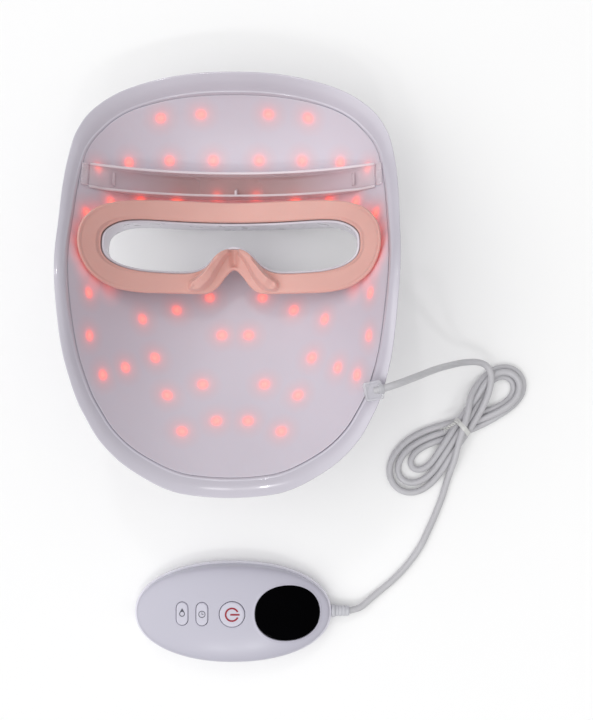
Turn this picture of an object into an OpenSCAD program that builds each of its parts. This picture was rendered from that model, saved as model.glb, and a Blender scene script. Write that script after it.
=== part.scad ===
// LED face mask lying on its front, face side up, with its wired remote.
// Millimetres. Origin under the middle of mask and remote, on the surface
// they lie on. +X to the wearer-side right, +Y towards the forehead, +Z up.

/* [Mask] */
// Width of the mask across the cheeks
mask_w = 186; // [182:1:190]
// Height of the rim above the surface at the cheeks
bowl_d = 90; // [80:1:96]
// Wall thickness of the front shell
shell_t = 1.6; // [1.2:0.1:1.8]
// Wall thickness of the face-side panel
panel_t = 1.3; // [1:0.1:1.5]
// Room behind the panel in the middle, for the light strips
light_gap = 5.6; // [4.5:0.1:6.5]
// How fast the walls steepen towards the sides
side_power = 2.8; // [2.5:0.1:3]

/* [Eye pad] */
// Height of the pad's face at the nose
pad_z = 34; // [32:1:38]
// How much higher the pad's face is at the temples
pad_rise = 46; // [44:1:50]
// Thickness of the pad's face flange
pad_t = 4; // [3:0.5:5]
// Height of the nose wings over the pad's face
wing_h = 11; // [6:1:13]

/* [Forehead band] */
// Lower edge of the band
band_y0 = 109; // [108:0.5:110]
// Upper edge of the band
band_y1 = 124; // [122:0.5:125]
// Thickness of the band's two standing edges
band_lip = 1.6; // [1.2:0.1:2]

/* [Lights] */
// Side of one light
led_w = 3.2; // [2.8:0.1:3.5]
// Width of the flexible circuit strips
strip_w = 7; // [6:0.5:8]

/* [Remote] */
// Length of the remote
remote_l = 120.5; // [119:0.5:122]
// Width of the remote
remote_w = 61.5; // [60:0.5:63]
// Height of the remote at its crown
remote_h = 18; // [18:0.5:20]
// Height of the seam between the covers
seam_z = 7.5; // [7.4:0.1:8]
// Radius of the round power key
power_r = 7.6; // [7:0.1:8]
// Gap round each key
key_gap = 0.3; // [0.2:0.05:0.4]
// Travel of the keys
key_travel = 0.8; // [0.6:0.1:0.9]

/* [Cord] */
// Diameter of the cord
cord_d = 4; // [3.5:0.1:4.2]

/* [Hidden] */
$fn = 48;

kx = mask_w / 186;

// Half outlines, from the top centre down the right side to the chin.
RIM_H = [[0,177],[24,176],[46,172],[65.5,164.5],[80,153.5],[88.2,140.5],
  [91.7,126],[93,109],[92.8,88],[92.2,68],[90,42],[87.2,14],[82.5,-7],[77,-20.5],
  [69.8,-33],[58.5,-45],[43.5,-55],[30,-60.8],[16,-63.2],[0,-64]];
EYE_H = [[0,90.3],[12,90.3],[25,90.3],[38,90.3],[50,90],[59.5,88.7],
  [65.5,86],[69.5,82],[70.5,77.2],[70,72],[67,68],[61,65],[52,63.3],
  [42,62.9],[32,62.9],[24,63.6],[17.5,66.5],[12.5,71.5],[7,76],[0,78]];
PAD_H = [[0,103.5],[14,103.7],[28,103.8],[42,103.3],[55,102],[66,99.5],
  [74.5,95],[80.5,87],[82.5,77],[81,67.5],[76,58.5],[66.5,52],[54,49.8],
  [42,49.7],[31,49.8],[22,49.8],[15,50.3],[9.5,54],[4.5,60.5],[0,64]];
// Share of the nose wing's height at each place of the eye outline
WING_H = [0,0,0,0,0,0,0,0,0,0,0,0,0,0,0.05,0.3,0.75,1,0.85,0.45];

function both(h) = concat(h, [for (i = [len(h) - 2 : -1 : 1]) [-h[i][0], h[i][1]]]);
function both1(h) = concat(h, [for (i = [len(h) - 2 : -1 : 1]) h[i]]);
function cr(a, b, c, d, t) = 0.5 * (2 * b + (c - a) * t
  + (2 * a - 5 * b + 4 * c - d) * t * t + (3 * b - a - 3 * c + d) * t * t * t);
function ring(c, m) = [for (i = [0 : len(c) - 1]) for (j = [0 : m - 1])
  cr(c[(i + len(c) - 1) % len(c)], c[i], c[(i + 1) % len(c)], c[(i + 2) % len(c)], j / m)];
function unit(v) = v / norm(v);
// Moves a clockwise ring outwards by d[i] or d
function off(c, d) = [for (i = [0 : len(c) - 1]) let (n = len(c),
  t = unit(c[(i + 1) % n] - c[(i + n - 1) % n]), e = is_list(d) ? d[i] : d)
  c[i] + e * [-t[1], t[0]]];
function mix(a, b, f) = [for (i = [0 : len(a) - 1]) a[i] + (b[i] - a[i]) * f];

SUB = 2;
rim = [for (p = ring(both(RIM_H), SUB)) [p[0] * kx, p[1]]];
eye = [for (p = ring(both(EYE_H), SUB)) [p[0] * kx, p[1]]];
padc = [for (p = ring(both(PAD_H), SUB)) [p[0] * kx, p[1]]];
wing = ring(both1(WING_H), SUB);

// The front surface of the mask, as a height over the surface it lies on
function keel(y) = y < 85 ? 76 * pow((85 - y) / 152, 1.8) : 44 * pow((y - 85) / 92, 3.4);
function flank(y) = bowl_d - 32 + 32 * exp(-pow((y - 45) / 50, 2))
  - 10 / (1 + exp((120 - y) / 10));
function front(x, y) = keel(y) + flank(y) * pow(abs(x) / (92 * kx), side_power);
function steep(x, y) = norm([(front(x + 0.1, y) - front(x - 0.1, y)) / 0.2,
  (front(x, y + 0.1) - front(x, y - 0.1)) / 0.2, 1]);
// A point t millimetres behind the front surface at p
function lay(p, t) = [p[0], p[1], front(p[0], p[1]) + t * steep(p[0], p[1])];
function up(p, z) = [p[0], p[1], z];

// Room between shell and panel: full in the middle, nearly closed at the rim
function seam_d(y) = 6 + 2 * pow(min(1, abs(y - 60) / 70), 1.5)
  + 2.5 * min(1, max(0, (-10 - y) / 50)) + 2.6 * min(1, max(0, (y - 130) / 20));
function taper(x, f) = min(1, pow(pow(abs(x) / (90 * kx), 6) + pow(f, 12), 0.25));
function gap_t(x, f) = shell_t + 1.3 + (light_gap - 1.3) * (1 - taper(x, f));

eye0 = off(eye, 2.3);
seam = off(rim, [for (p = rim) -seam_d(p[1])]);
panel_edge = off(rim, [for (p = rim) -seam_d(p[1]) - 0.35]);
// Share of the way from the eye window to the seam, found along a ray
function share(p) = let (q = [p[0], p[1] - 60]) p[1] > 60
  ? min(1, max(0, (p[1] - 92) / 74)) : min(1, max(0, (62 - p[1]) / 119));
function back_t(p) = gap_t(p[0], share(p)) + panel_t;

// Closed mesh from rows of closed profiles, the rows themselves closed
module hoop(rows) {
  n = len(rows); k = len(rows[0]);
  polyhedron(points = [for (r = rows) for (p = r) p],
    faces = [for (i = [0 : n - 1]) for (j = [0 : k - 1])
      let (a = i * k + j, b = ((i + 1) % n) * k + j,
           c = ((i + 1) % n) * k + (j + 1) % k, d = i * k + (j + 1) % k)
      each [[a, b, c], [a, c, d]]], convexity = 12);
}
// Closed mesh from rows of closed profiles, capped at both ends
module spar(rows) {
  n = len(rows); k = len(rows[0]);
  polyhedron(points = [for (r = rows) for (p = r) p],
    faces = concat([for (i = [0 : n - 2]) for (j = [0 : k - 1])
      let (a = i * k + j, b = (i + 1) * k + j,
           c = (i + 1) * k + (j + 1) % k, d = i * k + (j + 1) % k)
      each [[a, b, c], [a, c, d]]],
      [for (j = [1 : k - 2]) [0, j, j + 1]],
      [for (j = [1 : k - 2]) [(n - 1) * k, (n - 1) * k + j + 1, (n - 1) * k + j]]),
    convexity = 12);
}

// ---- mask ----
F_OUT = [0, 0.16, 0.36, 0.56, 0.75, 0.9, 1];
module outer_shell() color([0.93, 0.93, 0.95]) {
  crest_a = off(rim, -0.5); crest_b = off(rim, -2.1); crest_c = off(rim, -3.9);
  hoop([for (i = [0 : len(rim) - 1]) concat(
    [for (f = F_OUT) lay(eye0[i] + (seam[i] - eye0[i]) * f, 0)],
    [lay(rim[i], 0),
     up(crest_a[i], front(rim[i][0], rim[i][1]) + 1.3),
     up(crest_b[i], front(rim[i][0], rim[i][1]) + 1.7),
     lay(crest_c[i], gap_t(99, 1) + panel_t + 0.2),
     lay(seam[i], gap_t(99, 1) + panel_t + 0.2)],
    [for (j = [len(F_OUT) - 1 : -1 : 0])
      lay(eye0[i] + (seam[i] - eye0[i]) * F_OUT[j], shell_t)])]);
}

module inner_panel() color([0.93, 0.9, 0.92, 0.8]) {
  hoop([for (i = [0 : len(rim) - 1]) let (e = eye0[i], q = panel_edge[i]) concat(
    [for (f = F_OUT) let (p = e + (q - e) * f) lay(p, gap_t(p[0], share(p)))],
    [for (j = [len(F_OUT) - 1 : -1 : 0]) let (p = e + (q - e) * F_OUT[j])
      lay(p, back_t(p))])]);
}

function pad_face(x) = pad_z + pad_rise * pow(abs(x) / (84 * kx), 2);
module eye_window_frame() color([0.95, 0.95, 0.96]) {
  e2 = off(eye, 2); e3 = off(eye, 2.1); e7 = off(eye, 6.6);
  hoop([for (i = [0 : len(eye) - 1])
    [lay(eye[i], 0), lay(e2[i], 0), lay(e2[i], back_t(e2[i]) + 0.2),
     lay(e7[i], back_t(e7[i]) + 0.2), lay(e7[i], back_t(e7[i]) + 0.9),
     lay(e3[i], back_t(e3[i]) + 1.2),
     up(e2[i], pad_face(eye[i][0]) - 6), up(eye[i], pad_face(eye[i][0]) - 6)]]);
}

module eye_pad() color([0.93, 0.74, 0.68]) {
  in0 = off(eye, 1.5); in1 = off(eye, 2.6); b0 = off(eye, 2.6); b1 = off(eye, 6);
  b2 = off(eye, 7.2); o1 = off(padc, -1.3);
  hoop([for (i = [0 : len(eye) - 1]) let (z = pad_face(padc[i][0]),
      zi = pad_face(eye[i][0]), w = wing_h * max(0, wing[i]))
    [up(padc[i], z - 1.6), up(padc[i], z - pad_t + 0.4), up(o1[i], z - pad_t),
     up(b2[i], max(zi - pad_t - 0.8 + w * 0.25, lay(b2[i], back_t(b2[i]) + 1.3)[2])),
     lay(b1[i], back_t(b1[i]) + 1.6),
     lay(b0[i], back_t(b0[i]) + 1.8), up(in1[i], zi - 4.5 + w * 0.5),
     up(in0[i], zi - 1.4 + w), up(in1[i], zi + w), up(o1[i], z)]]);
}

// A strip bent to the panel: centre line c, width w, from height a to b
module ribbon(c, w, f, a, b) {
  n = len(c);
  spar([for (i = [0 : n - 1]) let (t = unit(c[min(n - 1, i + 1)] - c[max(0, i - 1)]),
      s = [-t[1], t[0]] * w / 2, l = c[i] + s, r = c[i] - s)
    [lay(l, call(f, l) + a), lay(r, call(f, r) + a), lay(r, call(f, r) + b), lay(l, call(f, l) + b)]]);
}
function call(f, p) = f == 0 ? gap_t(p[0], share(p)) : back_t(p);

module forehead_band() color([0.9, 0.88, 0.9, 0.7]) {
  ym = (band_y0 + band_y1) / 2; w = (band_y1 - band_y0) / 2;
  xs = [for (x = [-81 : 9 : 81]) x * kx];
  top = function (x, y) max(pad_z - 13 + 29 * pow(abs(x) / (81 * kx), 2.2),
    lay([x, y], back_t([x, y]) + 1.1)[2]);
  base = function (x, y, t) lay([x, y], back_t([x, y]) + t)[2];
  spar([for (x = xs) [
    [x, ym - w, base(x, ym - w, 0.2)], [x, ym - w, top(x, ym - w)],
    [x, ym - w + band_lip, top(x, ym - w)], [x, ym - w + band_lip, base(x, ym - w + band_lip, 0.9)],
    [x, ym + w - band_lip, base(x, ym + w - band_lip, 0.9)], [x, ym + w - band_lip, top(x, ym + w)],
    [x, ym + w, top(x, ym + w)], [x, ym + w, base(x, ym + w, 0.2)]]]);
}

module forehead_band_clips() color([0.92, 0.9, 0.92]) {
  for (s = [-1, 1]) spar([for (x = s > 0 ? [81.4, 83, 84.6] : [-84.6, -83, -81.4])
    [lay([x * kx, 110], back_t([x, 110]) + 0.2), lay([x * kx, 110], back_t([x, 110]) + 1.4),
     lay([x * kx, 123], back_t([x, 123]) + 1.4), lay([x * kx, 123], back_t([x, 123]) + 0.2)]]);
}

// Lights on the right half, mirrored to the left
LED_H = [[20,157],[43.5,154],[14,132.5],[40,131.5],[62.5,128],[77.5,121.5],[12,112],[36,109],
  [56,106],[71,103],[81,94],[16,49],[35,41],[53,35],[77,48],[8,26],[76,24.5],
  [45.5,12.5],[60,7],[70,3],[18,-3],[37.5,-9],[9,-23.5],[28,-29]];
function lr(h) = concat([for (i = [len(h) - 1 : -1 : 0]) [-h[i][0], h[i][1]]], h);
function smooth(c, m) = [for (i = [0 : len(c) - 2]) for (j = [0 : m - 1])
  cr(c[max(0, i - 1)], c[i], c[i + 1], c[min(len(c) - 1, i + 2)], j / m), each [c[len(c) - 1]]];
ROWS_UP = [[[14,157.5],[24,157],[34,155.5],[46,153]],
  [[14,132.5],[27,132.3],[40,131.5],[52,130],[62,128],[71,124.5],[79,120]],
  [[12,112],[24,110.8],[36,109],[46,107.8],[56,106],[64,104.8],[72,102.5]]];
ROWS_LOW = [[[12,50],[20,47.5],[28,44],[36,41],[45,37.8],[53,35],[62,33.5],[72,36],[78,40]],
  [[6,26.5],[16,24],[26,21],[36,16.5],[46,12.5],[53,9.8],[60,7],[68,3.5],[72,1]],
  [[8,-1],[18,-3],[28,-6],[37.5,-9],[44,-12]],
  [[6,-23.3],[12,-24],[20,-26.3],[28,-29],[33,-31]]];
RISER_UP = [[-75.5,120],[-76.8,111],[-77.3,102],[-77.5,92],[-77.3,84]];

module led_strip_upper() color([0.85, 0.6, 0.3]) {
  for (r = ROWS_UP) ribbon(smooth(lr(r), 1), strip_w, 0, -1.7, -1.4);
  for (s = [-1, 1]) ribbon([for (p = RISER_UP) [p[0] * s, p[1]]], 5, 0, -1.66, -1.44);
}
module led_strip_lower() color([0.85, 0.6, 0.3]) {
  for (r = ROWS_LOW) ribbon(smooth(lr(r), 1), strip_w, 0, -1.7, -1.4);
  ribbon([[0,-26],[0,-14],[0,-2],[0,12],[0,26],[0,38],[0,52]], 6, 0, -2.35, -2);
}

// Sets children on the panel's back at p, upright along its normal
module seat(p, t) {
  gx = (front(p[0] + 0.1, p[1]) - front(p[0] - 0.1, p[1])) / 0.2;
  gy = (front(p[0], p[1] + 0.1) - front(p[0], p[1] - 0.1)) / 0.2;
  translate(lay(p, t)) rotate([0, 0, atan2(-gy, -gx)])
    rotate([0, atan2(norm([gx, gy]), 1), 0]) children();
}
module face_leds() color([1, 0.42, 0.35]) {
  for (h = LED_H) for (s = [-1, 1]) let (p = [h[0] * s, h[1]])
    seat(p, gap_t(p[0], share(p)) - 1.12) translate([0, 0, 0.4])
      cube([led_w, led_w, 0.8], center = true);
}
module cord_terminal_board() color([0.2, 0.45, 0.3]) {
  seat([64, -14], gap_t(64, share([64, -14])) - 1.5) cube([10, 14, 0.8], center = true);
}

// The gland in the rim, where the cord leaves the mask
GLAND = [77.4, -5];
module gland_plan(w, l, r) {
  square([w - 2 * r, l], center = true);
  square([w, l - 2 * r], center = true);
  for (a = [-1, 1]) for (b = [-1, 1]) translate([a * (w / 2 - r), b * (l / 2 - r)]) circle(r = r);
}
module cord_gland() color([0.82, 0.83, 0.85]) {
  translate([GLAND[0] * kx, GLAND[1], 78]) rotate([0, 0, 12]) {
    linear_extrude(12.6) gland_plan(9, 9.4, 2);
    translate([4.2, 0, 10]) rotate([0, 90, 0]) cylinder(r = 2.6, h = 1.6);
  }
}

// ---- cord ----
// A round tube of radius r swept along the points c
function tube_rows(c, r, k) = [for (i = [0 : len(c) - 1]) let (n = len(c),
    t = unit(c[min(n - 1, i + 1)] - c[max(0, i - 1)]),
    s = unit(cross(t, abs(t[2]) > 0.9 ? [0, 1, 0] : [0, 0, 1])), u = cross(s, t))
  [for (j = [0 : k - 1]) let (a = 360 * j / k + 180 / k) c[i] + r * (cos(a) * s + sin(a) * u)]];
MASK_RUN = [[83.2,-3.8,88],[88,-2.6,87.8],[93,-1,86],[98.5,0.5,81.2],[104,1.8,73.5],
  [109,3,64],[114,4,53.5],[119,4.9,43.2],[124,5.8,33.2],[129,6.8,24.6],[135,8,17],
  [142,9.2,11.6],[149,9.8,9],[154,9,8.2]];
REMOTE_RUN = [[134.4,-44.5,2.4],[132.6,-53,2.2],[131.4,-61,2.1],[129.8,-69.5,2.1],[126.8,-78,2.1],
  [122.6,-87,2.1],[119.5,-95,2.1],[115.4,-103.5,2.1],[110,-111.5,2.1],[103.6,-119,2.1],
  [96.3,-125.3,2.1],[88.6,-131.4,2.2],[82,-137,2.9],[76,-141.8,4.2],[69.2,-143.3,4.9]];
module cord_mask_run() color([0.88, 0.88, 0.88])
  spar(tube_rows(smooth(MASK_RUN, 1), cord_d / 2, 8));
module cord_remote_run() color([0.88, 0.88, 0.88])
  spar(tube_rows(smooth(REMOTE_RUN, 1), cord_d / 2, 8));

HANK = [138.7, -30.2];
HANK_A = 40;
HANK_OUT = [[-57,0],[-55,9],[-48,15],[-36,17],[-22,16],[-10,10],[0,5.2],[10,8],[22,15],
  [32,20.5],[41,20],[48,13],[51,3],[49,-7],[40,-12],[25,-11],[12,-8],[0,-5.2],
  [-10,-9],[-24,-15],[-38,-17],[-49,-13],[-55,-7]];
module cord_hank() color([0.88, 0.88, 0.88])
  translate([HANK[0], HANK[1], 0]) rotate([0, 0, HANK_A]) difference() {
    union() {
      linear_extrude(9) polygon([for (i = [len(HANK_OUT) - 1 : -1 : 0]) HANK_OUT[i]]);
      translate([-9, -5, 1]) cube([18, 10, 10.6]);
    }
    translate([-2.6, -12, -1]) cube([5.2, 24, 2.2]);
  }
module cord_tie() color([0.9, 0.9, 0.88])
  translate([HANK[0], HANK[1], 0]) rotate([0, 0, HANK_A]) {
    difference() {
      translate([-1.8, -7.2, 0.1]) cube([3.6, 14.4, 12.8]);
      translate([-3, -6.2, 1.1]) cube([6, 12.4, 10.7]);
    }
    translate([-12, 9, 10.1]) rotate([0, 90, -11]) cylinder(r = 0.9, h = 12.5);
  }

// ---- remote ----
RC = [-2.3, -143.3];
RELIEF_Z = 4.9;
module oval(l, w) polygon([for (a = [0 : 6 : 354]) let (c = cos(a), s = sin(a))
  [sign(c) * l / 2 * pow(abs(c), 0.93), sign(s) * w / 2 * pow(abs(s), 0.93)]]);
module pill(r, l) { square([2 * r, l - 2 * r], center = true);
  for (a = [-1, 1]) translate([0, a * (l / 2 - r)]) circle(r = r); }
module at_remote(x, z) translate([RC[0] + x, RC[1], z]) children();
CROWN_R = 260;
function crown(x) = remote_h - CROWN_R + sqrt(CROWN_R * CROWN_R - x * x);
KEY_X = [0, -18.2, -30.3];
KEY_Y = 1;
DISP_X = 33.5;
board_z = 7.6;
board_t = 1.2;
SWITCH_Z = board_z + board_t + 0.05;
stem_z = SWITCH_Z + 2.15 + key_travel + 0.15;
module at_key(x, z) at_remote(x, z) translate([0, KEY_Y, 0]) children();

SCREWS = [[24, 20], [24, -20], [-32, 17], [-32, -17]];
module remote_top_cover() color([0.85, 0.84, 0.9]) {
 for (p = SCREWS) at_remote(p[0], 2.1) translate([0, p[1], 0]) difference() {
    cylinder(r = 2.6, h = 12.6);
    translate([0, 0, -1]) cylinder(r = 1.45, h = 9);
  }
 difference() {
  intersection() {
    at_remote(0, seam_z + 0.1) linear_extrude(remote_h) oval(remote_l - 2.4, remote_w - 2.4);
    at_remote(0, remote_h - CROWN_R) sphere(r = CROWN_R, $fn = 240);
  }
  intersection() {
    at_remote(0, seam_z - 1) linear_extrude(remote_h) oval(remote_l - 6.4, remote_w - 6.4);
    at_remote(0, remote_h - CROWN_R - 2) sphere(r = CROWN_R, $fn = 240);
  }
  at_key(KEY_X[0], 5) cylinder(r = power_r + key_gap, h = 40);
  for (i = [1, 2]) at_key(KEY_X[i], 5) linear_extrude(40) pill(3.5 + key_gap, 14 + 2 * key_gap);
  at_key(DISP_X, 5) linear_extrude(40) oval(39.6, 33.6);
 }
}
module remote_bottom_cover() color([0.9, 0.89, 0.93]) difference() {
  union() {
    at_remote(0, 2.5) linear_extrude(seam_z - 2.5) oval(remote_l, remote_w);
    at_remote(0, 1) linear_extrude(1.6) oval(remote_l - 2.4, remote_w - 2.4);
    at_remote(0, 0) linear_extrude(1.2) oval(remote_l - 6, remote_w - 6);
  }
  at_remote(0, 2) linear_extrude(20) oval(remote_l - 8, remote_w - 8);
  at_remote(57, RELIEF_Z) rotate([0, 90, 0]) cylinder(r = 2.2, h = 12, center = true);
  at_remote(-57, 5.1) cube([12, 9.2, 3.5], center = true);
  for (p = SCREWS) at_remote(p[0], -1) translate([0, p[1], 0]) {
    cylinder(r = 1.6, h = 5); cylinder(r = 3, h = 2.2); }
}
module remote_strain_relief() color([0.86, 0.86, 0.88]) at_remote(0, RELIEF_Z) rotate([0, 90, 0]) {
  translate([0, 0, 60.4]) cylinder(r1 = 3.9, r2 = 3.5, h = 2.4);
  translate([0, 0, 62.7]) cylinder(r1 = 3.3, r2 = 3, h = 8.8);
  translate([0, 0, 53]) cylinder(r = 2.1, h = 7.6);
}
module display_lens() color([0.03, 0.03, 0.04]) intersection() {
  at_key(DISP_X, crown(DISP_X) - 3.2) linear_extrude(8) oval(39, 33);
  at_remote(0, remote_h - CROWN_R) sphere(r = CROWN_R, $fn = 240);
}
module display_module() color([0.12, 0.12, 0.14])
  at_key(DISP_X - 1, board_z + board_t + 0.1) translate([-13, -10, 0]) cube([26, 20, 3.3]);
module power_button() color([0.88, 0.86, 0.9]) {
  at_key(KEY_X[0], crown(0) - 3.2) cylinder(r = power_r, h = 3.8);
  at_key(KEY_X[0], crown(0) - 3.3) cylinder(r = power_r + 1.2, h = 0.8);
  at_key(KEY_X[0], stem_z) cylinder(r = 2, h = crown(0) - 3 - stem_z);
}
module power_symbol() color([0.8, 0.1, 0.2]) at_key(KEY_X[0], crown(0) + 0.62) {
  linear_extrude(0.12) {
    difference() {
      circle(r = 4.3); circle(r = 3.3);
      polygon([[0,0],[7,3.4],[7,-3.4]]);
    }
    translate([-1, -0.5]) square([5.6, 1]);
  }
}
module pill_key(i) {
  at_key(KEY_X[i], crown(KEY_X[i]) - 3.2) linear_extrude(3.5) pill(3.5, 14);
  at_key(KEY_X[i], crown(abs(KEY_X[i]) + 5) - 2.95) linear_extrude(0.7) pill(4.5, 16);
  at_key(KEY_X[i], stem_z) cylinder(r = 1.6, h = crown(KEY_X[i]) - 3 - stem_z);
}
module time_button() color([0.88, 0.86, 0.9]) pill_key(1);
module color_button() color([0.88, 0.86, 0.9]) pill_key(2);
module clock_mark() color([0.3, 0.3, 0.34]) at_key(KEY_X[1], crown(KEY_X[1]) + 0.32)
  linear_extrude(0.1) {
    difference() { circle(r = 2.1); circle(r = 1.7); }
    translate([-0.15, -0.15]) square([0.3, 1.45]);
    translate([-0.15, -0.15]) square([1.15, 0.3]);
  }
module drop_mark() color([0.3, 0.3, 0.34]) at_key(KEY_X[2], crown(KEY_X[2]) + 0.32)
  linear_extrude(0.1) difference() {
    union() { circle(r = 1.7); polygon([[-1.5,0.8],[0,3.4],[1.5,0.8]]); }
    circle(r = 1.25);
  }
module key_switches() color([0.3, 0.3, 0.32])
  for (i = [0 : 2]) at_key(KEY_X[i], SWITCH_Z) {
    translate([-3, -3, 0]) cube([6, 6, 1.5]);
    cylinder(r = 1.4, h = 2.15);
  }
module remote_board() color([0.12, 0.4, 0.25]) at_remote(1, board_z) linear_extrude(board_t)
  oval(80, 40);
module battery_cell() color([0.5, 0.52, 0.6]) at_remote(4, 2.2)
  translate([-24, -14, 0]) cube([48, 28, 5]);
module charge_port() color([0.7, 0.7, 0.72]) at_remote(-55.6, 5.1) difference() {
  cube([8, 8.8, 3.1], center = true);
  translate([-2, 0, 0]) cube([8, 7.6, 2.2], center = true);
}
module remote_screws() color([0.6, 0.6, 0.62]) for (p = SCREWS) at_remote(p[0], 0.1)
  translate([0, p[1], 0]) {
    difference() { cylinder(r = 2.7, h = 1); translate([0, 0, -0.1]) cylinder(r = 1.1, h = 0.7, $fn = 6); }
    translate([0, 0, 0.9]) cylinder(r = 1.4, h = 6.6);
  }

outer_shell();
inner_panel();
eye_window_frame();
eye_pad();
forehead_band();
forehead_band_clips();
led_strip_upper();
led_strip_lower();
face_leds();
cord_terminal_board();
cord_gland();
cord_mask_run();
cord_hank();
cord_tie();
cord_remote_run();
remote_strain_relief();
remote_top_cover();
remote_bottom_cover();
display_lens();
display_module();
power_button();
power_symbol();
time_button();
clock_mark();
color_button();
drop_mark();
key_switches();
remote_board();
battery_cell();
charge_port();
remote_screws();
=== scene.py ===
"""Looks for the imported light-therapy face mask and its wired remote.

Lengths in the tables below are millimetres in the row frame, as in the CAD source;
every mesh is made in metres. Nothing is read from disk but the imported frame."""

import math

import bmesh
import bpy
import numpy as np
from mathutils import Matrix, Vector


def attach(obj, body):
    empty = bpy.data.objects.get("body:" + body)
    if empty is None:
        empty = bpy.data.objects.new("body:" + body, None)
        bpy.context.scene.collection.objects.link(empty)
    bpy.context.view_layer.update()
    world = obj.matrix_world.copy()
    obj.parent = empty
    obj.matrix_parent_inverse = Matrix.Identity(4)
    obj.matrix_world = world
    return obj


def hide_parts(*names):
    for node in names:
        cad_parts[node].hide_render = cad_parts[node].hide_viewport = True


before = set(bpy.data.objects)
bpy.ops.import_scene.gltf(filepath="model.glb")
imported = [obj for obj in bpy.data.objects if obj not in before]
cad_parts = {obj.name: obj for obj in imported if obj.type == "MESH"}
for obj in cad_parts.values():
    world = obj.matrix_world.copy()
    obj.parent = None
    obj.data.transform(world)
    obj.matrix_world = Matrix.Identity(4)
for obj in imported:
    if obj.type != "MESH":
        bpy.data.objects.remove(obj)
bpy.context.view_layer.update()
scene = bpy.context.scene
ROOT = "mask_and_remote"
MM = 0.001

# ------------------------------------------------------------------ camera
cam_data = bpy.data.cameras.new("camera")
cam = bpy.data.objects.new("camera", cam_data)
scene.collection.objects.link(cam)
cam.location = (0.0366, 0.0112, 0.600)
cam.rotation_euler = (0, 0, 0)
cam_data.sensor_width = 36
cam_data.lens = 48.25
cam_data.clip_start = 0.02
cam_data.clip_end = 20
scene.camera = cam

# ------------------------------------------------------------------ the mask's design, as in the CAD source
BOWL_D, SHELL_T, PANEL_T, LIGHT_GAP, SIDE_POWER = 90, 1.6, 1.3, 5.6, 2.8
PAD_Z, PAD_RISE, PAD_T, WING_TOP = 34, 46, 4, 11
RIM_H = [[0,177],[24,176],[46,172],[65.5,164.5],[80,153.5],[88.2,140.5],
  [91.7,126],[93,109],[92.8,88],[92.2,68],[90,42],[87.2,14],[82.5,-7],[77,-20.5],
  [69.8,-33],[58.5,-45],[43.5,-55],[30,-60.8],[16,-63.2],[0,-64]]
EYE_H = [[0,90.3],[12,90.3],[25,90.3],[38,90.3],[50,90],[59.5,88.7],
  [65.5,86],[69.5,82],[70.5,77.2],[70,72],[67,68],[61,65],[52,63.3],
  [42,62.9],[32,62.9],[24,63.6],[17.5,66.5],[12.5,71.5],[7,76],[0,78]]
PAD_H = [[0,103.5],[14,103.7],[28,103.8],[42,103.3],[55,102],[66,99.5],
  [74.5,95],[80.5,87],[82.5,77],[81,67.5],[76,58.5],[66.5,52],[54,49.8],
  [42,49.7],[31,49.8],[22,49.8],[15,50.3],[9.5,54],[4.5,60.5],[0,64]]
LED_H = [[20,157],[43.5,154],[14,132.5],[40,131.5],[62.5,128],[77.5,121.5],[12,112],[36,109],
  [56,106],[71,103],[81,94],[16,49],[35,41],[53,35],[77,48],[8,26],[76,24.5],
  [45.5,12.5],[60,7],[70,3],[18,-3],[37.5,-9],[9,-23.5],[28,-29]]


def both(h):
    return np.array(h + [[-a, b] for a, b in h[-2:0:-1]], float)


def cr(a, b, c, d, t):
    return 0.5 * (2 * b + (c - a) * t + (2 * a - 5 * b + 4 * c - d) * t * t
                  + (3 * b - a - 3 * c + d) * t ** 3)


def ring(c, m):
    """A closed smooth ring through c, with m points for each of c's."""
    n = len(c)
    return np.array([cr(c[i - 1], c[i], c[(i + 1) % n], c[(i + 2) % n], j / m)
                     for i in range(n) for j in range(m)])


def curve(c, m):
    """An open smooth line through c, with m points for each step."""
    c = np.array(c, float)
    n = len(c)
    out = [cr(c[max(0, i - 1)], c[i], c[i + 1], c[min(n - 1, i + 2)], j / m)
           for i in range(n - 1) for j in range(m)]
    return np.array(out + [c[-1]])


def off(c, d):
    """A clockwise ring moved outwards by d, one number or one for each point."""
    t = np.roll(c, -1, 0) - np.roll(c, 1, 0)
    t = t / np.linalg.norm(t, axis=1)[:, None]
    n = np.stack([-t[:, 1], t[:, 0]], 1)
    return c + n * (np.asarray(d, float)[:, None] if np.ndim(d) else d)


def keel(y):
    return np.where(y < 85, 76 * np.power(np.maximum(85 - y, 0) / 152, 1.8),
                    44 * np.power(np.maximum(y - 85, 0) / 92, 3.4))


def flank(y):
    return BOWL_D - 32 + 32 * np.exp(-((y - 45) / 50) ** 2) - 10 / (1 + np.exp((120 - y) / 10))


def front(x, y):
    x, y = np.asarray(x, float), np.asarray(y, float)
    return keel(y) + flank(y) * np.power(np.abs(x) / 92, SIDE_POWER)


def steep(x, y):
    gx = (front(x + 0.1, y) - front(x - 0.1, y)) / 0.2
    gy = (front(x, y + 0.1) - front(x, y - 0.1)) / 0.2
    return np.sqrt(gx ** 2 + gy ** 2 + 1)


def lay(p, t):
    """Points t behind the mask's front surface at p."""
    p = np.asarray(p, float)
    return np.stack([p[..., 0], p[..., 1],
                     front(p[..., 0], p[..., 1]) + t * steep(p[..., 0], p[..., 1])], -1)


def up(p, z):
    p = np.asarray(p, float)
    return np.stack([p[..., 0], p[..., 1], np.broadcast_to(z, p[..., 0].shape)], -1)


def seam_d(y):
    return (6 + 2 * np.minimum(1, np.abs(y - 60) / 70) ** 1.5
            + 2.5 * np.clip((-10 - y) / 50, 0, 1) + 2.6 * np.clip((y - 130) / 20, 0, 1))


def gap_t(x, f):
    taper = np.minimum(1, ((np.abs(x) / 90) ** 6 + f ** 12) ** 0.25)
    return SHELL_T + 1.3 + (LIGHT_GAP - 1.3) * (1 - taper)


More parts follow.
